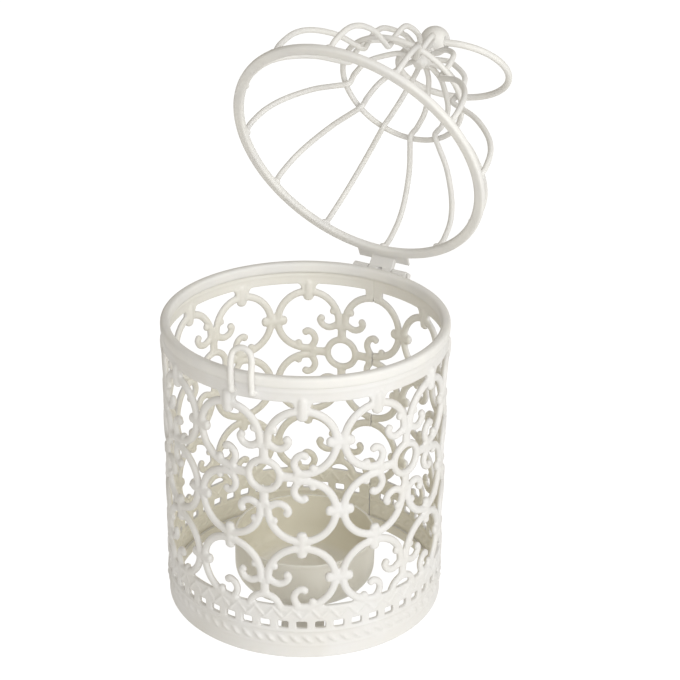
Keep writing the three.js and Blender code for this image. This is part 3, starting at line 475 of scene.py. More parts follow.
# %% Fusing parts
def fused(shapes, voxel, smoothing):
    """One closed skin over all the shapes, smoothed the given number of times."""
    corners, faces = together(shapes)
    mesh = bpy.data.meshes.new("parts")
    mesh.from_pydata(corners.tolist(), [], faces)
    parts = bpy.data.objects.new("parts", mesh)
    bpy.context.scene.collection.objects.link(parts)
    fuse = parts.modifiers.new("fuse", "REMESH")
    fuse.mode = "VOXEL"
    fuse.voxel_size = voxel
    soften = parts.modifiers.new("soften", "SMOOTH")
    soften.iterations = smoothing
    soften.factor = 0.5
    evaluated = parts.evaluated_get(bpy.context.evaluated_depsgraph_get())
    whole = bpy.data.meshes.new_from_object(evaluated)
    result = np.empty(3 * len(whole.vertices), np.float32)
    whole.vertices.foreach_get("co", result)
    sides = [list(polygon.vertices) for polygon in whole.polygons]
    bpy.data.objects.remove(parts)
    bpy.data.meshes.remove(mesh)
    bpy.data.meshes.remove(whole)
    print(f"{len(shapes)} parts fused into {len(sides)} faces")
    return result.reshape(-1, 3).astype(float), sides

# %% [markdown]
# ## The lace wall
# On the real lantern the wall is one stamped strip: three rows of twelve circles between
# two plain bands. Where two circles touch they carry either a pair of scrolls or a small
# clasp with a bead on each side, and at every second crossing a small ring on four necks
# stands in their place. The strip is drawn flat, as it is stamped, because every strand is
# then a simple path. After fusing it is rolled round the cage.

# %% Circles of the lace
STRAND_WIDTH, STRAND_OVERLAP = 2.3, 0.2
STRAND_THICK = 0.9
STEM_LENGTH = 1.95
SEAM_COLUMN = 5
FIRST_COLUMN = SEAM_COLUMN - COLUMNS
SEAM_GAP = 0.3
STRIP_START = FIRST_COLUMN * COLUMN_PITCH + SEAM_GAP / 2
STRIP_END = SEAM_COLUMN * COLUMN_PITCH - SEAM_GAP / 2


def junction(row):
    return PATTERN_TOP - row * ROW_PITCH


def is_eye(column):
    """True where the boundary to the left of this column has the small rings."""
    return column % 2 == 0


eyes = np.array([((column - 0.5) * COLUMN_PITCH, junction(row))
                 for column in range(FIRST_COLUMN + 1, SEAM_COLUMN + 1) if is_eye(column)
                 for row in (1, 3)])
EYE_ROOM = min(COLUMN_PITCH, ROW_PITCH) / 2 - STEM_LENGTH


def circle_strands(column, row):
    """One circle, as the arcs that are left between the small rings."""
    a = COLUMN_PITCH / 2 - (STRAND_WIDTH - STRAND_OVERLAP) / 2
    b = ROW_PITCH / 2 - (STRAND_WIDTH - STRAND_OVERLAP) / 2
    whole = FIRST_COLUMN < column < SEAM_COLUMN
    if whole:
        turn = np.linspace(0, 2 * math.pi, 144, endpoint=False)
    else:
        seam_side = -math.pi / 2 if column == FIRST_COLUMN else math.pi / 2
        turn = np.linspace(seam_side, seam_side + math.pi, 73)
    path = np.column_stack([column * COLUMN_PITCH + a * np.cos(turn),
                            junction(row - 0.5) + b * np.sin(turn)])
    kept = np.all(np.linalg.norm(path[:, None] - eyes[None], axis=2) > EYE_ROOM, axis=1)
    if whole and not kept.all():
        first_gap = int(np.argmin(kept))
        path, kept = np.roll(path, -first_gap, 0), np.roll(kept, -first_gap)
    path[:, 0] = np.clip(path[:, 0], STRIP_START, STRIP_END)
    if kept.all():
        return [strand(path, STRAND_WIDTH / 2, STRAND_THICK, closed=whole, round_ends=False)]
    edges = np.flatnonzero(np.diff(kept.astype(int))) + 1
    arcs = [arc for arc, keep in zip(np.split(path, edges), np.split(kept, edges))
            if keep[0] and len(arc) > 2]
    return [strand(arc, STRAND_WIDTH / 2, STRAND_THICK, round_ends=False) for arc in arcs]


lace = []
for column in range(FIRST_COLUMN, SEAM_COLUMN + 1):
    for row in (1, 2, 3):
        lace += circle_strands(column, row)
print(len(lace), "arcs of circles, some cut by the seam")

# %% Scrolls, nubs and clasps
def placed(points, touch, away, into):
    """Points drawn at a touching point, along its two directions."""
    points = np.asarray(points, float)
    return np.array(touch) + points[:, :1] * np.array(away) + points[:, 1:2] * np.array(into)


def scroll(touch, away, into):
    curl = [(-1.15, 0.9), (-1.3, 1.9), (-1.9, 3.0), (-2.1, 4.4), (-1.35, 5.95), (0.15, 6.75), (0.95, 6.2)]
    path = smooth_path(curl, 5)
    along = np.linspace(0, 1, len(path))
    width = np.interp(along, [0, 0.2, 0.75, 0.9, 1], [1.2, 1.1, 1.03, 1.05, 1.15])
    return strand(placed(path, touch, away, into), width, 0.85)


def nub(touch, away, into, offset):
    path = placed([(offset, 1.3), (offset, 2.2), (offset, 2.95)], touch, away, into)
    return strand(path, [1.0, 0.95, 1.1], [0.85, 0.85, 0.9])


def clasp_bead(touch, away, into):
    path = placed([(0, 0.0), (0, 1.5), (0, 3.0)], touch, away, into)
    return strand(path, [1.35, 1.33, 1.48], [0.95, 1.0, 1.02])


for column in range(FIRST_COLUMN, SEAM_COLUMN + 1):
    x, left = column * COLUMN_PITCH, (column - 0.5) * COLUMN_PITCH
    first, last = column == FIRST_COLUMN, column == SEAM_COLUMN
    for row in (1, 2, 3) if not first else ():
        touch = (left, junction(row - 0.5))
        for side in (-1, 1):
            if is_eye(column):
                away = (0, -1 if row == 2 else 1)
                lace += [scroll(touch, away, (side, 0)), nub(touch, away, (side, 0), 3.2)]
            else:
                lace.append(clasp_bead(touch, (0, 1), (side, 0)))
    away = 1 if is_eye(column) else -1
    for row, side in ((1, 1), (1, -1), (3, 1)):
        touch = (x, junction(row))
        if not (first and away > 0) and not (last and away < 0):
            lace.append(scroll(touch, (away, 0), (0, side)))
        if not (first and away < 0) and not (last and away > 0):
            lace.append(nub(touch, (away, 0), (0, side), 2.9))
    for row, side in ((2, 1), (2, -1)):
        if not first and not last:
            lace.append(clasp_bead((x, junction(row)), (1, 0), (0, side)))
print(len(lace), "strands after the scrolls, nubs and clasps")

# %% Small rings with four necks
EYE_RADIUS, EYE_RING, EYE_NECK = 3.3, 2.1, 2.6


def prism(outline, low, high):
    """An outline in the flat, given a thickness from low to high."""
    n = len(outline)
    corners = [(*point, depth) for depth in (low, high) for point in outline]
    faces = [list(range(n))[::-1], list(range(n, 2 * n))]
    faces += [[i, (i + 1) % n, n + (i + 1) % n, n + i] for i in range(n)]
    return facing_out(np.array(corners, float), faces)


def small_ring(centre):
    middle = EYE_RADIUS + EYE_RING / 2
    standing = centre[1] < LOWER_BAND
    turn = np.radians(np.linspace(8, 172, 30)) if standing else 2 * np.pi * np.arange(44) / 44
    path = centre + middle * np.column_stack([np.cos(turn), np.sin(turn)])
    shapes = [strand(path, EYE_RING / 2, 0.95, closed=not standing, round_ends=False)]
    for quarter in (0, 1, 2) if standing else (0, 1, 2, 3):
        a = quarter * math.pi / 2
        out = np.array([math.cos(a), math.sin(a)])
        far = (COLUMN_PITCH if quarter % 2 == 0 else ROW_PITCH) / 2 - 0.7
        reach = np.linspace(middle, far, 5)
        width = EYE_NECK * np.interp(reach, [middle, middle + 1.6, far], [0.62, 0.5, 0.55])
        shapes.append(strand(centre + reach[:, None] * out, width, 0.8, round_ends=False))
    return shapes


for centre in eyes:
    lace += small_ring(centre)
print(len(lace), "parts with the small rings")

# %% [markdown]
# The two bands are part of the same stamping. The upper one has a shallow second bead and a
# raised drop above every circle. The lower one carries, from the top, a raised zigzag, a row
# of slots, a fine ridge and a slanting rope, and it ends in a plain foot.

# %% The two bands
SLOTS_PER_COLUMN, SLOT_WIDTH, SLOT_HEIGHT, SLOT_MIDDLE = 4, 2.9, 2.3, 10.4
HALF_BAND = 0.6
TUCKED = 0.9
BAR_LAP = 0.3
SLOT_LOW, SLOT_HIGH = SLOT_MIDDLE - SLOT_HEIGHT / 2, SLOT_MIDDLE + SLOT_HEIGHT / 2


def plate(x0, z0, x1, z1):
    return prism([(x0, z0), (x1, z0), (x1, z1), (x0, z1)], -HALF_BAND, HALF_BAND)


def level_bead(height, half_width, half_thick):
    path = np.column_stack([np.linspace(STRIP_START, STRIP_END, 120), np.full(120, height)])
    return strand(path, half_width, half_thick, round_ends=False)


bands = [plate(STRIP_START, 0, STRIP_END, SLOT_LOW),
         plate(STRIP_START, SLOT_HIGH, STRIP_END, LOWER_BAND),
         plate(STRIP_START, UPPER_BOTTOM, STRIP_END, WALL_TOP + TUCKED)]
slot_pitch = COLUMN_PITCH / SLOTS_PER_COLUMN
for i in range(COLUMNS * SLOTS_PER_COLUMN + 1):
    middle = FIRST_COLUMN * COLUMN_PITCH + (i - 0.5) * slot_pitch
    half = (slot_pitch - SLOT_WIDTH) / 2
    x0, x1 = max(middle - half, STRIP_START), min(middle + half, STRIP_END)
    if x1 > x0:
        bands.append(plate(x0, SLOT_LOW - BAR_LAP, x1, SLOT_HIGH + BAR_LAP))
for end in (STRIP_START, STRIP_END - SLOT_WIDTH / 2):
    bands.append(plate(end, SLOT_LOW - BAR_LAP, end + SLOT_WIDTH / 2, SLOT_HIGH + BAR_LAP))
RIDGE_HEIGHT, FOOT_RIDGE_HEIGHT, SECOND_BEAD_DROP = 8.5, 3.9, 0.9
bands.append(level_bead(RIDGE_HEIGHT, 0.4, 0.95))
bands.append(level_bead(FOOT_RIDGE_HEIGHT, 0.35, 0.8))
bands.append(level_bead(WALL_TOP - SECOND_BEAD_DROP, 0.6, 0.78))
for column in range(FIRST_COLUMN + 1, SEAM_COLUMN):
    x = column * COLUMN_PITCH
    flank = [(3.3, 0.3), (2.5, -0.5), (2.15, -1.3), (2.0, -2.4)]
    bands.append(prism([(x - e, UPPER_BOTTOM + z) for e, z in flank]
                       + [(x + e, UPPER_BOTTOM + z) for e, z in flank[::-1]], -0.75, 0.75))
for end, out in ((STRIP_START, 1), (STRIP_END, -1)):
    far, near = end + 2.6 * out, end - 0.6 * SEAM_GAP * out
    bands.append(plate(min(near, far), PATTERN_TOP - 0.8, max(near, far), WALL_TOP + TUCKED))
print(len(bands), "parts in the bands")

# %% Relief on the bands
ZIGZAG_PER_COLUMN, ZIGZAG_LOW, ZIGZAG_HIGH = 2 * SLOTS_PER_COLUMN, 12.6, 15.6
ROPE_PER_COLUMN, ROPE_HEIGHT = 6, 5.9
zig = np.arange(COLUMNS * ZIGZAG_PER_COLUMN + 1)
zigzag = np.column_stack([STRIP_START + zig * (STRIP_END - STRIP_START) / zig[-1],
                          np.where(zig % 2 == 0, ZIGZAG_LOW, ZIGZAG_HIGH)])
relief = [strand(np.linspace(a, b, 4), 0.5, 0.95) for a, b in zip(zigzag[:-1], zigzag[1:])]
rope_pitch = (STRIP_END - STRIP_START) / (COLUMNS * ROPE_PER_COLUMN)
for i in range(COLUMNS * ROPE_PER_COLUMN):
    middle = STRIP_START + (i + 0.5) * rope_pitch
    lay = np.array([[-1.25, 0.95], [-0.4, 0.4], [0.4, -0.4], [1.25, -0.95]])
    relief.append(strand(lay + [middle, ROPE_HEIGHT], [0.6, 0.85, 0.85, 0.6], [0.8, 1.1, 1.1, 0.8]))
for column in range(FIRST_COLUMN + 1, SEAM_COLUMN):
    drop = [(column * COLUMN_PITCH, UPPER_BOTTOM + rise) for rise in (0.2, -1.4, -3.0, -4.5)]
    relief.append(strand(drop, [1.4, 1.5, 1.55, 1.6], [1.25, 1.35, 1.25, 1.1], 0.1))
print(len(relief), "raised parts")

# %% The latch's place, from the record
latch_joint = joints["latch_swing"]
LATCH_AZIMUTH = math.atan2(latch_joint["pos_m"][0], -latch_joint["pos_m"][1])
LATCH_PIVOT = 1000 * latch_joint["pos_m"][2]
LATCH_WIDTH, LATCH_WIRE, LATCH_ASIDE = 5.8, 0.85, 0.3
print(f"latch at {math.degrees(LATCH_AZIMUTH):.1f} degrees, pivot {LATCH_PIVOT:.1f} mm up")

# %% Roll the strip
def rolled(shape):
    corners, faces = shape
    angle = corners[:, 0] / WALL_RADIUS
    r = WALL_MIDDLE + corners[:, 2]
    height = np.clip(corners[:, 1], 0.0, WALL_TOP + TUCKED)
    return np.column_stack([r * np.sin(angle), -r * np.cos(angle), height]), faces


LACE_VOXEL = 0.27
wall = rolled(fused(lace + bands + relief, LACE_VOXEL, 3))
piece("lace_wall", wall, "body", ["cage_wall"], lace_paint)

# %% [markdown]
# ## Rim, foot, floor and cup
# The cage's top edge is finished with a rounded hoop, and its foot with a flat band inside
# it. A flat strap crosses the open floor and carries a cup for the tealight on two rivets.
# All of these are turned shapes apart from the strap, so they are drawn as outlines and spun.

# %% Rim, foot and cup
RIM_CORNER, RIM_SUNK = 1.1, 0.2
rim_outline = [(RIM_OUTSIDE - RIM_WIDTH, RIM_BOTTOM - RIM_SUNK), (RIM_OUTSIDE, RIM_BOTTOM - RIM_SUNK),
               (RIM_OUTSIDE, RIM_TOP), (RIM_OUTSIDE - RIM_WIDTH, RIM_TOP)]
rim = turned(rounded(rim_outline, RIM_CORNER, 6, closed=True), closed=True)
piece("rolled_rim", rim, "body", ["rim_bead"], wire_paint)
FOOT_HEIGHT, FOOT_THICK, FOOT_SUNK = 3.0, 0.8, 0.15
foot_inside, foot_outside = WALL_INSIDE - SEAT_GAP - FOOT_THICK, WALL_INSIDE + FOOT_SUNK
foot_outline = [(foot_inside, 0), (foot_outside, 0), (foot_outside, FOOT_HEIGHT),
                (foot_inside, FOOT_HEIGHT)]
foot_band = turned(rounded(foot_outline, 0.35, closed=True), closed=True)
piece("foot_band", foot_band, "body", ["foot_hoop"], lace_paint)
CUP_RADIUS, CUP_HEIGHT, CUP_WALL, CUP_FLOOR, CUP_CORNER = 20.3, 16.0, 0.6, 0.8, 6.0
CUP_BOTTOM = 1.3
cup_top, cup_inside = CUP_BOTTOM + CUP_HEIGHT, CUP_RADIUS - CUP_WALL


def cup_corner(r, z, radius):
    return [(r - radius * (1 - math.sin(a)), z + radius * (1 - math.cos(a)))
            for a in np.linspace(0, math.pi / 2, 10)]


cup_outline = ([(0, CUP_BOTTOM)] + cup_corner(CUP_RADIUS - 0.1, CUP_BOTTOM, CUP_CORNER)
               + [(CUP_RADIUS - 0.1, cup_top - 1.3), (CUP_RADIUS, cup_top - 1.0), (CUP_RADIUS, cup_top),
                  (cup_inside - 0.35, cup_top), (cup_inside - 0.1, cup_top - 1.2)]
               + cup_corner(cup_inside - 0.1, CUP_BOTTOM + CUP_FLOOR, CUP_CORNER - CUP_WALL)[::-1]
               + [(0, CUP_BOTTOM + CUP_FLOOR)])
piece("candle_cup", turned(rounded(cup_outline, 0.3)), "body", ["tealight_cup"], cup_paint)

# %% Rivets and strap
RIVET_SPACING, RIVET_RADIUS, RIVET_HEAD, RIVET_DOME = 6, 1.2, 1.9, 0.9
rivet_seat = CUP_BOTTOM + CUP_FLOOR
rivet_outline = [(0, SEAT_GAP), (RIVET_RADIUS, SEAT_GAP), (RIVET_RADIUS, rivet_seat),
                 (RIVET_HEAD, rivet_seat), (0.94 * RIVET_HEAD, rivet_seat + 0.6),
                 (0.6 * RIVET_HEAD, rivet_seat + RIVET_DOME + 0.15),
                 (0, rivet_seat + RIVET_DOME + SEAT_GAP)]
for name, side, node in (("front_rivet", -1, "cup_rivet_front"), ("back_rivet", 1, "cup_rivet_back")):
    corners, faces = turned(rounded(rivet_outline, 0.3), 40)
    piece(name, (corners + [0, side * RIVET_SPACING / 2, 0], faces), "body", [node], cup_paint)
strap_node = frame["nodes"]["base_strap"]
strap_node.data.materials.clear()
strap_node.data.materials.append(lace_paint)
soft_edge = strap_node.modifiers.new("soft_edge", "BEVEL")
soft_edge.width = 0.00025
soft_edge.segments = 3
print("strap keeps its CAD shape, with a softened edge")

# %% [markdown]
# ## The latch
# One wire is bent to a narrow arch. Its two toes turn in the wall just under the rim, and
# the arch folds over the closed lid's ring. The path is drawn facing +Y and turned into
# place. It is a little narrower than its CAD solid, which is nearer to the real latch.

# %% Latch
LATCH_HEIGHT, LATCH_LEAN = 12.4, 0.4


def stood(azimuth):
    """The turn that brings what is drawn at +Y to its azimuth, counted from the front."""
    return Matrix.Rotation(azimuth - math.pi, 4, "Z")


def latch_path():
    half = LATCH_WIDTH / 2
    foot = WALL_RADIUS + SEAT_GAP + LATCH_WIRE
    over_rim = RIM_OUTSIDE + SEAT_GAP + LATCH_WIRE
    spring = LATCH_PIVOT + LATCH_HEIGHT - half
    lean = WALL_RADIUS + LATCH_LEAN
    leg = [(WALL_INSIDE - 0.5, LATCH_PIVOT), (WALL_RADIUS + 0.2, LATCH_PIVOT),
           (foot + 0.1, LATCH_PIVOT + 0.6), (foot + 0.1, LATCH_PIVOT + 1.8),
           (over_rim, RIM_BOTTOM + RIM_HEIGHT / 2), (over_rim, RIM_TOP + 0.5), (lean + 0.6, spring)]
    arch = [(half * math.cos(a) - LATCH_ASIDE, lean + 0.6 * (1 - math.sin(a)), spring + half * math.sin(a))
            for a in np.radians([135, 90, 45])]
    left, right = -half - LATCH_ASIDE, half - LATCH_ASIDE
    return [(left, y, z) for y, z in leg] + arch + [(right, y, z) for y, z in leg[::-1]]


latch = wire(smooth_path(latch_path(), 8), LATCH_WIRE, 20)
piece("latch_wire", latch, "latch", ["latch_loop"], wire_paint, stood(LATCH_AZIMUTH))

# %% [markdown]
# ## The hinge
# Two folded leaves hold one pin. The body's leaf is soldered to the upper band and curls
# round the pin at both ends, and the lid's leaf curls round its middle, where a small hole
# shows. The leaves are fused from plates and bars, and the pin keeps its small head.

# %% Hinge
HINGE_LENGTH, HINGE_MIDDLE, HINGE_SIDE_GAP = 17.4, 7.4, 0.3
KNUCKLE, PIN, PIN_HEAD, LEAF = 1.25, 0.5, 0.95, 0.7
LID_LEAF_WIDTH, LID_LEAF_REACH, BODY_LEAF_DROP = 16.5, 2.3, 5.5


def along_pin(outline, x0, x1):
    corners, faces = prism(outline, x0, x1)
    return facing_out(corners[:, [2, 0, 1]], faces)


def pin_bar(radius, x0, x1, sides=40):
    section = [(HINGE_RADIUS + radius * math.cos(a), PIN_HEIGHT + radius * math.sin(a))
               for a in 2 * np.pi * np.arange(sides) / sides]
    return along_pin(section, x0, x1)


inside, outside = WALL_RADIUS + SEAT_GAP, WALL_RADIUS + SEAT_GAP + LEAF
leaf_top = WALL_TOP - SEAT_GAP
leaf_bottom = PIN_HEIGHT - BODY_LEAF_DROP
body_leaf = [along_pin([(inside, leaf_bottom), (outside, leaf_bottom), (outside, leaf_top),
                        (inside, leaf_top)], -HINGE_LENGTH / 2, HINGE_LENGTH / 2)]
cheek = HINGE_MIDDLE / 2 + HINGE_SIDE_GAP
for x0, x1 in ((-HINGE_LENGTH / 2, -cheek), (cheek, HINGE_LENGTH / 2)):
    body_leaf.append(pin_bar(KNUCKLE, x0, x1))
    body_leaf.append(along_pin([(inside + 0.1, leaf_top - 2 * LEAF), (outside, leaf_top - 2 * LEAF),
                                (HINGE_RADIUS + 0.4 * KNUCKLE, PIN_HEIGHT - 0.85 * KNUCKLE),
                                (HINGE_RADIUS - 0.85 * KNUCKLE, PIN_HEIGHT), (outside, leaf_top - 0.1),
                                (inside + 0.1, leaf_top - 0.1)], x0, x1))
LEAF_VOXEL, PIN_VOXEL = 0.13, 0.1
cage_leaf = fused(body_leaf, LEAF_VOXEL, 2)
piece("cage_leaf", cage_leaf, "body", ["hinge_body_leaf"], wire_paint, stood(HINGE_AZIMUTH))

# %% Holes
def drilled(solid, hole):
    """The solid with the hole's shape cut out of it."""
    made = []
    for label, (corners, faces) in (("solid", solid), ("hole", hole)):
        mesh = bpy.data.meshes.new(label)
        mesh.from_pydata(np.asarray(corners).tolist(), [], faces)
        made.append(bpy.data.objects.new(label, mesh))
        bpy.context.scene.collection.objects.link(made[-1])
    cut = made[0].modifiers.new("cut", "BOOLEAN")
    cut.object, cut.operation, cut.solver = made[1], "DIFFERENCE", "EXACT"
    bpy.context.view_layer.update()
    evaluated = made[0].evaluated_get(bpy.context.evaluated_depsgraph_get())
    whole = bpy.data.meshes.new_from_object(evaluated)
    corners = np.array([vertex.co[:] for vertex in whole.vertices])
    faces = [list(polygon.vertices) for polygon in whole.polygons]
    for thing in made:
        bpy.data.objects.remove(thing)
    bpy.data.meshes.remove(whole)
    print(f"a hole is cut, {len(faces)} faces are left")
    return corners, faces

# %% Lid's leaf and the pin
leaf_in = LID_RING_RADIUS - 1.2
leaf_out = LID_RING_RADIUS + SEAT_GAP + LID_LEAF_REACH
leaf_low, leaf_high = LID_MIDDLE - 0.3, LID_MIDDLE + 0.4
neck = HINGE_MIDDLE / 2
lid_leaf = [
    along_pin([(leaf_in, leaf_low), (leaf_out, leaf_low), (leaf_out, leaf_high), (leaf_in, leaf_high)],
              -LID_LEAF_WIDTH / 2, LID_LEAF_WIDTH / 2),
    along_pin([(leaf_out - 1.6, leaf_low), (HINGE_RADIUS - 0.85 * KNUCKLE, PIN_HEIGHT),
               (HINGE_RADIUS + 0.85 * KNUCKLE, PIN_HEIGHT + 0.2 * KNUCKLE), (leaf_out, leaf_high),
               (leaf_out - 1.6, leaf_high)], -neck, neck),
    pin_bar(KNUCKLE, -neck, neck)]
pinhole_turn = np.array(Matrix.Rotation(math.radians(120), 3, "X"))
pinhole_place = [0, HINGE_RADIUS - 1.0, PIN_HEIGHT - 0.3]
pinhole_corners, pinhole_faces = turned([(0, -1.1), (0.6, -1.1), (0.6, 2), (0, 2)], 24)
pinhole = ((pinhole_corners * [1.6, 1.1, 1]) @ pinhole_turn.T + pinhole_place, pinhole_faces)
leaf_shape = drilled(fused(lid_leaf, LEAF_VOXEL, 2), pinhole)
piece("lid_leaf", leaf_shape, "lid", ["hinge_lid_leaf"], wire_paint, lid_open @ stood(HINGE_AZIMUTH))
pin_parts = [pin_bar(PIN, -HINGE_LENGTH / 2 - 0.2, HINGE_LENGTH / 2 + 0.4),
             pin_bar(PIN_HEAD, HINGE_LENGTH / 2 + 0.3, HINGE_LENGTH / 2 + 0.8)]
pin = fused(pin_parts, PIN_VOXEL, 2)
piece("pin_with_head", pin, "body", ["hinge_pin"], wire_paint, stood(HINGE_AZIMUTH))

# %% [markdown]
# ## The lid
# Twelve ribs rise from a flat ring, dip in under a smaller ring at the crown, bulge out
# again and meet at a hub. They are drawn in the closed lid, standing over the cage, and
# swung open about the hinge with the rest of the lid. Each rib ends in a small bead of
# weld on the ring.

# %% Lid ring
LID_RING_CORNER = 0.95
ring_inside, half_height = LID_RING_RADIUS - LID_RING_WIDTH, LID_RING_HEIGHT / 2
ring_outline = [(ring_inside, LID_MIDDLE - half_height), (LID_RING_RADIUS, LID_MIDDLE - half_height),
                (LID_RING_RADIUS, LID_MIDDLE + half_height), (ring_inside, LID_MIDDLE + half_height)]
lid_hoop = turned(rounded(ring_outline, LID_RING_CORNER, 6, closed=True), closed=True)
piece("lid_hoop", lid_hoop, "lid", ["lid_ring"], wire_paint, lid_open)

# %% Ribs
RIBS, RIB_WIRE, RIB_FOOT_INSET = 12, 0.8, 1.7
RIB_FOOT = LID_RING_RADIUS - RIB_FOOT_INSET
VALLEY_RADIUS, VALLEY_HEIGHT = 16.9, 27.0
rib_profile = [(RIB_FOOT, 0.2), (37.05, 1.6), (37.25, 5.0), (35.9, 11.2), (32.3, 16.9), (26.1, 22.4),
               (20.3, 25.3), (VALLEY_RADIUS, VALLEY_HEIGHT), (16.7, 29.1), (17.0, 31.9), (15.6, 37.8),
               (9.5, 42.4), (5.6, 43.0), (2.3, 42.4)]
BEAD_SIZE, BEAD_RISE = (1.45, 0.85), 1.1


def blob(centre, size):
    """A flattened ball: its size is its radius and half its height."""
    outline = [(size[0] * math.sin(a), -size[1] * math.cos(a)) for a in np.linspace(0, math.pi, 12)]
    outline[0], outline[-1] = (0, -size[1]), (0, size[1])
    corners, faces = turned(outline, 20)
    return corners + np.array(centre), faces


for i in range(RIBS):
    azimuth = 2 * math.pi * i / RIBS
    out = np.array([math.sin(azimuth), -math.cos(azimuth), 0.0])
    path = np.array([r * out + [0, 0, LID_MIDDLE + z] for r, z in rib_profile])
    bead = blob(RIB_FOOT * out + [0, 0, LID_MIDDLE + BEAD_RISE], BEAD_SIZE)
    rib = together([wire(smooth_path(path, 8), RIB_WIRE, 16), bead])
    piece(f"rib_{i + 1:02d}", rib, "lid", [f"lid_rib_{i + 1:02d}"], wire_paint, lid_open)

# %% Crown ring and hub
CROWN_WIRE, CROWN_RISE = 0.8, 1.4
crown_radius = VALLEY_RADIUS + RIB_WIRE + SEAT_GAP + CROWN_WIRE
crown_section = circle(crown_radius, LID_MIDDLE + VALLEY_HEIGHT + CROWN_RISE, CROWN_WIRE, 20)
crown_hoop = turned(crown_section, 128, closed=True)
piece("crown_hoop", crown_hoop, "lid", ["crown_ring"], wire_paint, lid_open)
HUB_HEIGHT, POST_LENGTH, BALL_RADIUS, BALL_SEAT = 43.6, 2.5, 4.4, 1.7
hub_top = LID_MIDDLE + HUB_HEIGHT
ball_seat = hub_top + POST_LENGTH + SEAT_GAP
ball_middle = ball_seat + math.sqrt(BALL_RADIUS ** 2 - BALL_SEAT ** 2)
hub_outline = [(0, hub_top - 4.6), (1.6, hub_top - 4.6), (1.9, hub_top - 2.6), (2.9, hub_top - 1.9),
               (2.9, hub_top - 0.7), (1.9, hub_top), (0.95, hub_top + 0.4), (0.95, ball_seat - 0.9),
               (1.7, ball_seat - 0.7), (1.7, ball_seat + 0.2), (0, ball_seat + 0.2)]
piece("crown_boss", turned(rounded(hub_outline, 0.5), 64), "lid", ["crown_hub"], wire_paint, lid_open)

# %% [markdown]
# The ball has a slanting hole for the wire ring that serves as a handle. The hole is a little
# wider at its mouths, so it is cut out of the ball with a Boolean before the ball is placed.

# %% Ball with its hole
swing = joints["handle_swing"]
hole_axis = Vector(swing["axis"])
hole_point = Vector(swing["pos_m"])
HANDLE_WIRE, HANDLE_RADIUS = 1.0, 16.65
closed_axis = (lid_open.to_3x3().inverted() @ hole_axis).normalized()
closed_point = np.array(lid_open.inverted() @ hole_point) * 1000
arc = np.linspace(math.asin(BALL_SEAT / BALL_RADIUS), math.pi, 40)
ball_outline = [(0, -BALL_RADIUS * math.cos(arc[0]))] + [
    (BALL_RADIUS * math.sin(a), -BALL_RADIUS * math.cos(a)) for a in arc[:-1]] + [(0, BALL_RADIUS)]
ball_corners, ball_faces = turned(ball_outline, 72)
ball_corners = ball_corners + [0, 0, ball_middle]
hole_outline = [(0, -6), (2.4, -6), (1.45, -2.5), (1.25, 0), (1.45, 2.5), (2.4, 6), (0, 6)]
hole_corners, hole_faces = turned(hole_outline, 40)
to_hole = np.array(closed_axis.to_track_quat("Z", "X").to_matrix())
hole_corners = hole_corners @ to_hole.T + closed_point
ball = drilled((ball_corners, ball_faces), (hole_corners, hole_faces))
piece("ball_knob", ball, "lid", ["ball_finial"], wire_paint, lid_open)

# %% Handle ring
ring_low, ring_high = (Vector(corner) * 1000 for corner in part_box("handle_ring"))
ring_middle = (ring_low + ring_high) / 2
to_ring = (ring_middle - hole_point * 1000).normalized()
ring_normal = hole_axis.cross(to_ring).normalized()
ring_corners, ring_faces = turned(circle(HANDLE_RADIUS, 0, HANDLE_WIRE, 22), 144, closed=True)
ring_turn = np.array(ring_normal.to_track_quat("Z", "X").to_matrix())
ring_corners = ring_corners @ ring_turn.T + np.array(ring_middle)
piece("ring_handle", (ring_corners, ring_faces), "handle", ["handle_ring"], wire_paint)
print(f"ring middle is {(ring_middle - hole_point * 1000).length:.2f} mm from the hole")

# %% [markdown]
# ## Studio
# The lantern stands on a plain pale floor in soft light: a large lamp high on the right, two
# weaker ones in front, one high and one low, and an even, slightly warm sky. The floor and
# the sky show white to the camera, and the floor keeps part of its own shading so that the
# lantern's shadow stays on it.

# %% Floor
GLOW_STRENGTH, GLOW_WHEN_SEEN, GLOW_ALWAYS = 1.17, 0.7, 0.15


def pale_floor():
    material = bpy.data.materials.new("pale_floor")
    material.use_nodes = True
    nodes, link = material.node_tree.nodes, material.node_tree.links.new
    shader = nodes["Principled BSDF"]
    shader.inputs["Base Color"].default_value = (0.92, 0.905, 0.86, 1)
    shader.inputs["Roughness"].default_value = 0.9
    shader.inputs["Specular IOR Level"].default_value = 0.1
    glow = nodes.new("ShaderNodeEmission")
    glow.inputs["Color"].default_value = (1, 1, 1, 1)
    glow.inputs["Strength"].default_value = GLOW_STRENGTH
    light_path = nodes.new("ShaderNodeLightPath")
    share = nodes.new("ShaderNodeMath")
    share.operation = "MULTIPLY_ADD"
    share.inputs[1].default_value = GLOW_WHEN_SEEN
    share.inputs[2].default_value = GLOW_ALWAYS
    seen = nodes.new("ShaderNodeMath")
    seen.operation = "MAXIMUM"
    link(light_path.outputs["Is Camera Ray"], seen.inputs[0])
    link(light_path.outputs["Is Glossy Ray"], seen.inputs[1])
    link(seen.outputs[0], share.inputs[0])
    mix = nodes.new("ShaderNodeMixShader")
    link(share.outputs[0], mix.inputs[0])
    link(shader.outputs[0], mix.inputs[1])
    link(glow.outputs[0], mix.inputs[2])
    link(mix.outputs[0], nodes["Material Output"].inputs["Surface"])
    return material


bpy.ops.mesh.primitive_plane_add(size=6.0, location=(0, 0, 0))
floor = bpy.context.object
floor.name = "floor"
floor.data.materials.append(pale_floor())
print(f"the floor shows {GLOW_STRENGTH * (GLOW_WHEN_SEEN + GLOW_ALWAYS):.2f} of white by itself")

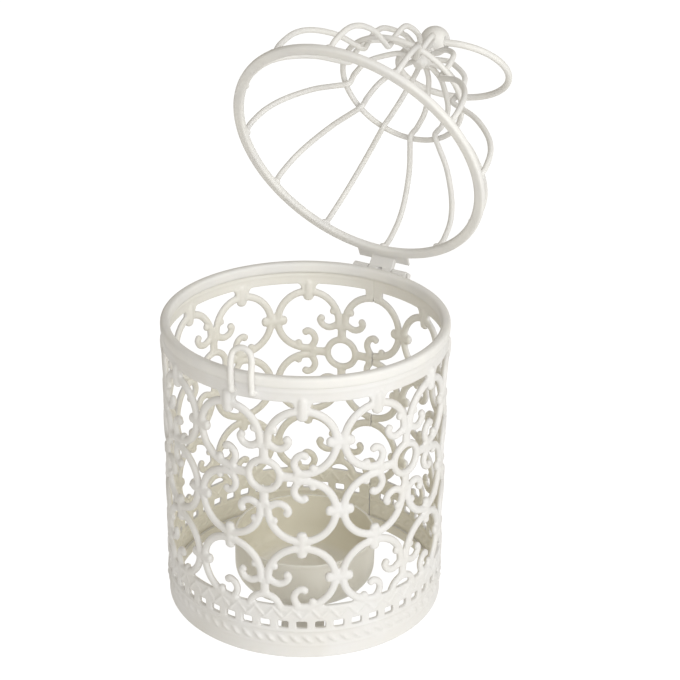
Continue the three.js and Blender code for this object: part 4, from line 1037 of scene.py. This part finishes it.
# %% Sky and lamps
world = bpy.data.worlds.new("soft_sky")
bpy.context.scene.world = world
world.use_nodes = True
sky_nodes, sky_link = world.node_tree.nodes, world.node_tree.links.new
sky = sky_nodes["Background"]
sky.inputs["Color"].default_value = (1.0, 0.935, 0.81, 1)
sky.inputs["Strength"].default_value = 0.38
white = sky_nodes.new("ShaderNodeBackground")
white.inputs["Color"].default_value = (1, 1, 1, 1)
white.inputs["Strength"].default_value = 1.0
sky_path = sky_nodes.new("ShaderNodeLightPath")
sky_mix = sky_nodes.new("ShaderNodeMixShader")
sky_link(sky_path.outputs["Is Camera Ray"], sky_mix.inputs[0])
sky_link(sky.outputs[0], sky_mix.inputs[1])
sky_link(white.outputs[0], sky_mix.inputs[2])
sky_link(sky_mix.outputs[0], sky_nodes["World Output"].inputs["Surface"])


COOL_WHITE = (0.96, 0.985, 1.0)


def lamp(name, place, aim, size, power):
    data = bpy.data.lights.new(name, "AREA")
    data.shape = "DISK"
    data.size = size
    data.energy = power
    data.color = COOL_WHITE
    thing = bpy.data.objects.new(name, data)
    thing.location = place
    thing.rotation_euler = (Vector(aim) - Vector(place)).to_track_quat("-Z", "Y").to_euler()
    bpy.context.scene.collection.objects.link(thing)


lamp("key", (0.65, -0.55, 0.5), (0, 0, 0.07), 0.6, 3.9)
lamp("high_fill", (0.0, -0.8, 0.8), (0, 0, 0.07), 0.6, 2.15)
lamp("low_fill", (0.1, -1.0, 0.25), (0, 0, 0.12), 0.5, 1.6)
print("three lamps and a pale sky")

# %% [markdown]
# ## Camera
# The camera stands where the photograph was taken: a little above the open lid, looking down
# by 25 degrees, with a long lens and a hair of roll. The image is taken to be square.

# %% Camera
DOWN, ROLL = math.radians(24.967), math.radians(0.69)
camera_data = bpy.data.cameras.new("camera")
camera_data.sensor_width = 36.0
camera_data.lens = 96.73
camera = bpy.data.objects.new("camera", camera_data)
camera.location = (0.00947, -0.4555, 0.2897)
aim = Matrix.Rotation(math.pi / 2 - DOWN, 3, "X") @ Matrix.Rotation(ROLL, 3, "Z")
camera.rotation_euler = aim.to_euler()
bpy.context.scene.collection.objects.link(camera)
bpy.context.scene.camera = camera
bpy.context.scene.view_settings.view_transform = "Standard"
print(f"camera {camera.location.length:.2f} m from the foot's middle, lens {camera_data.lens:.0f} mm")
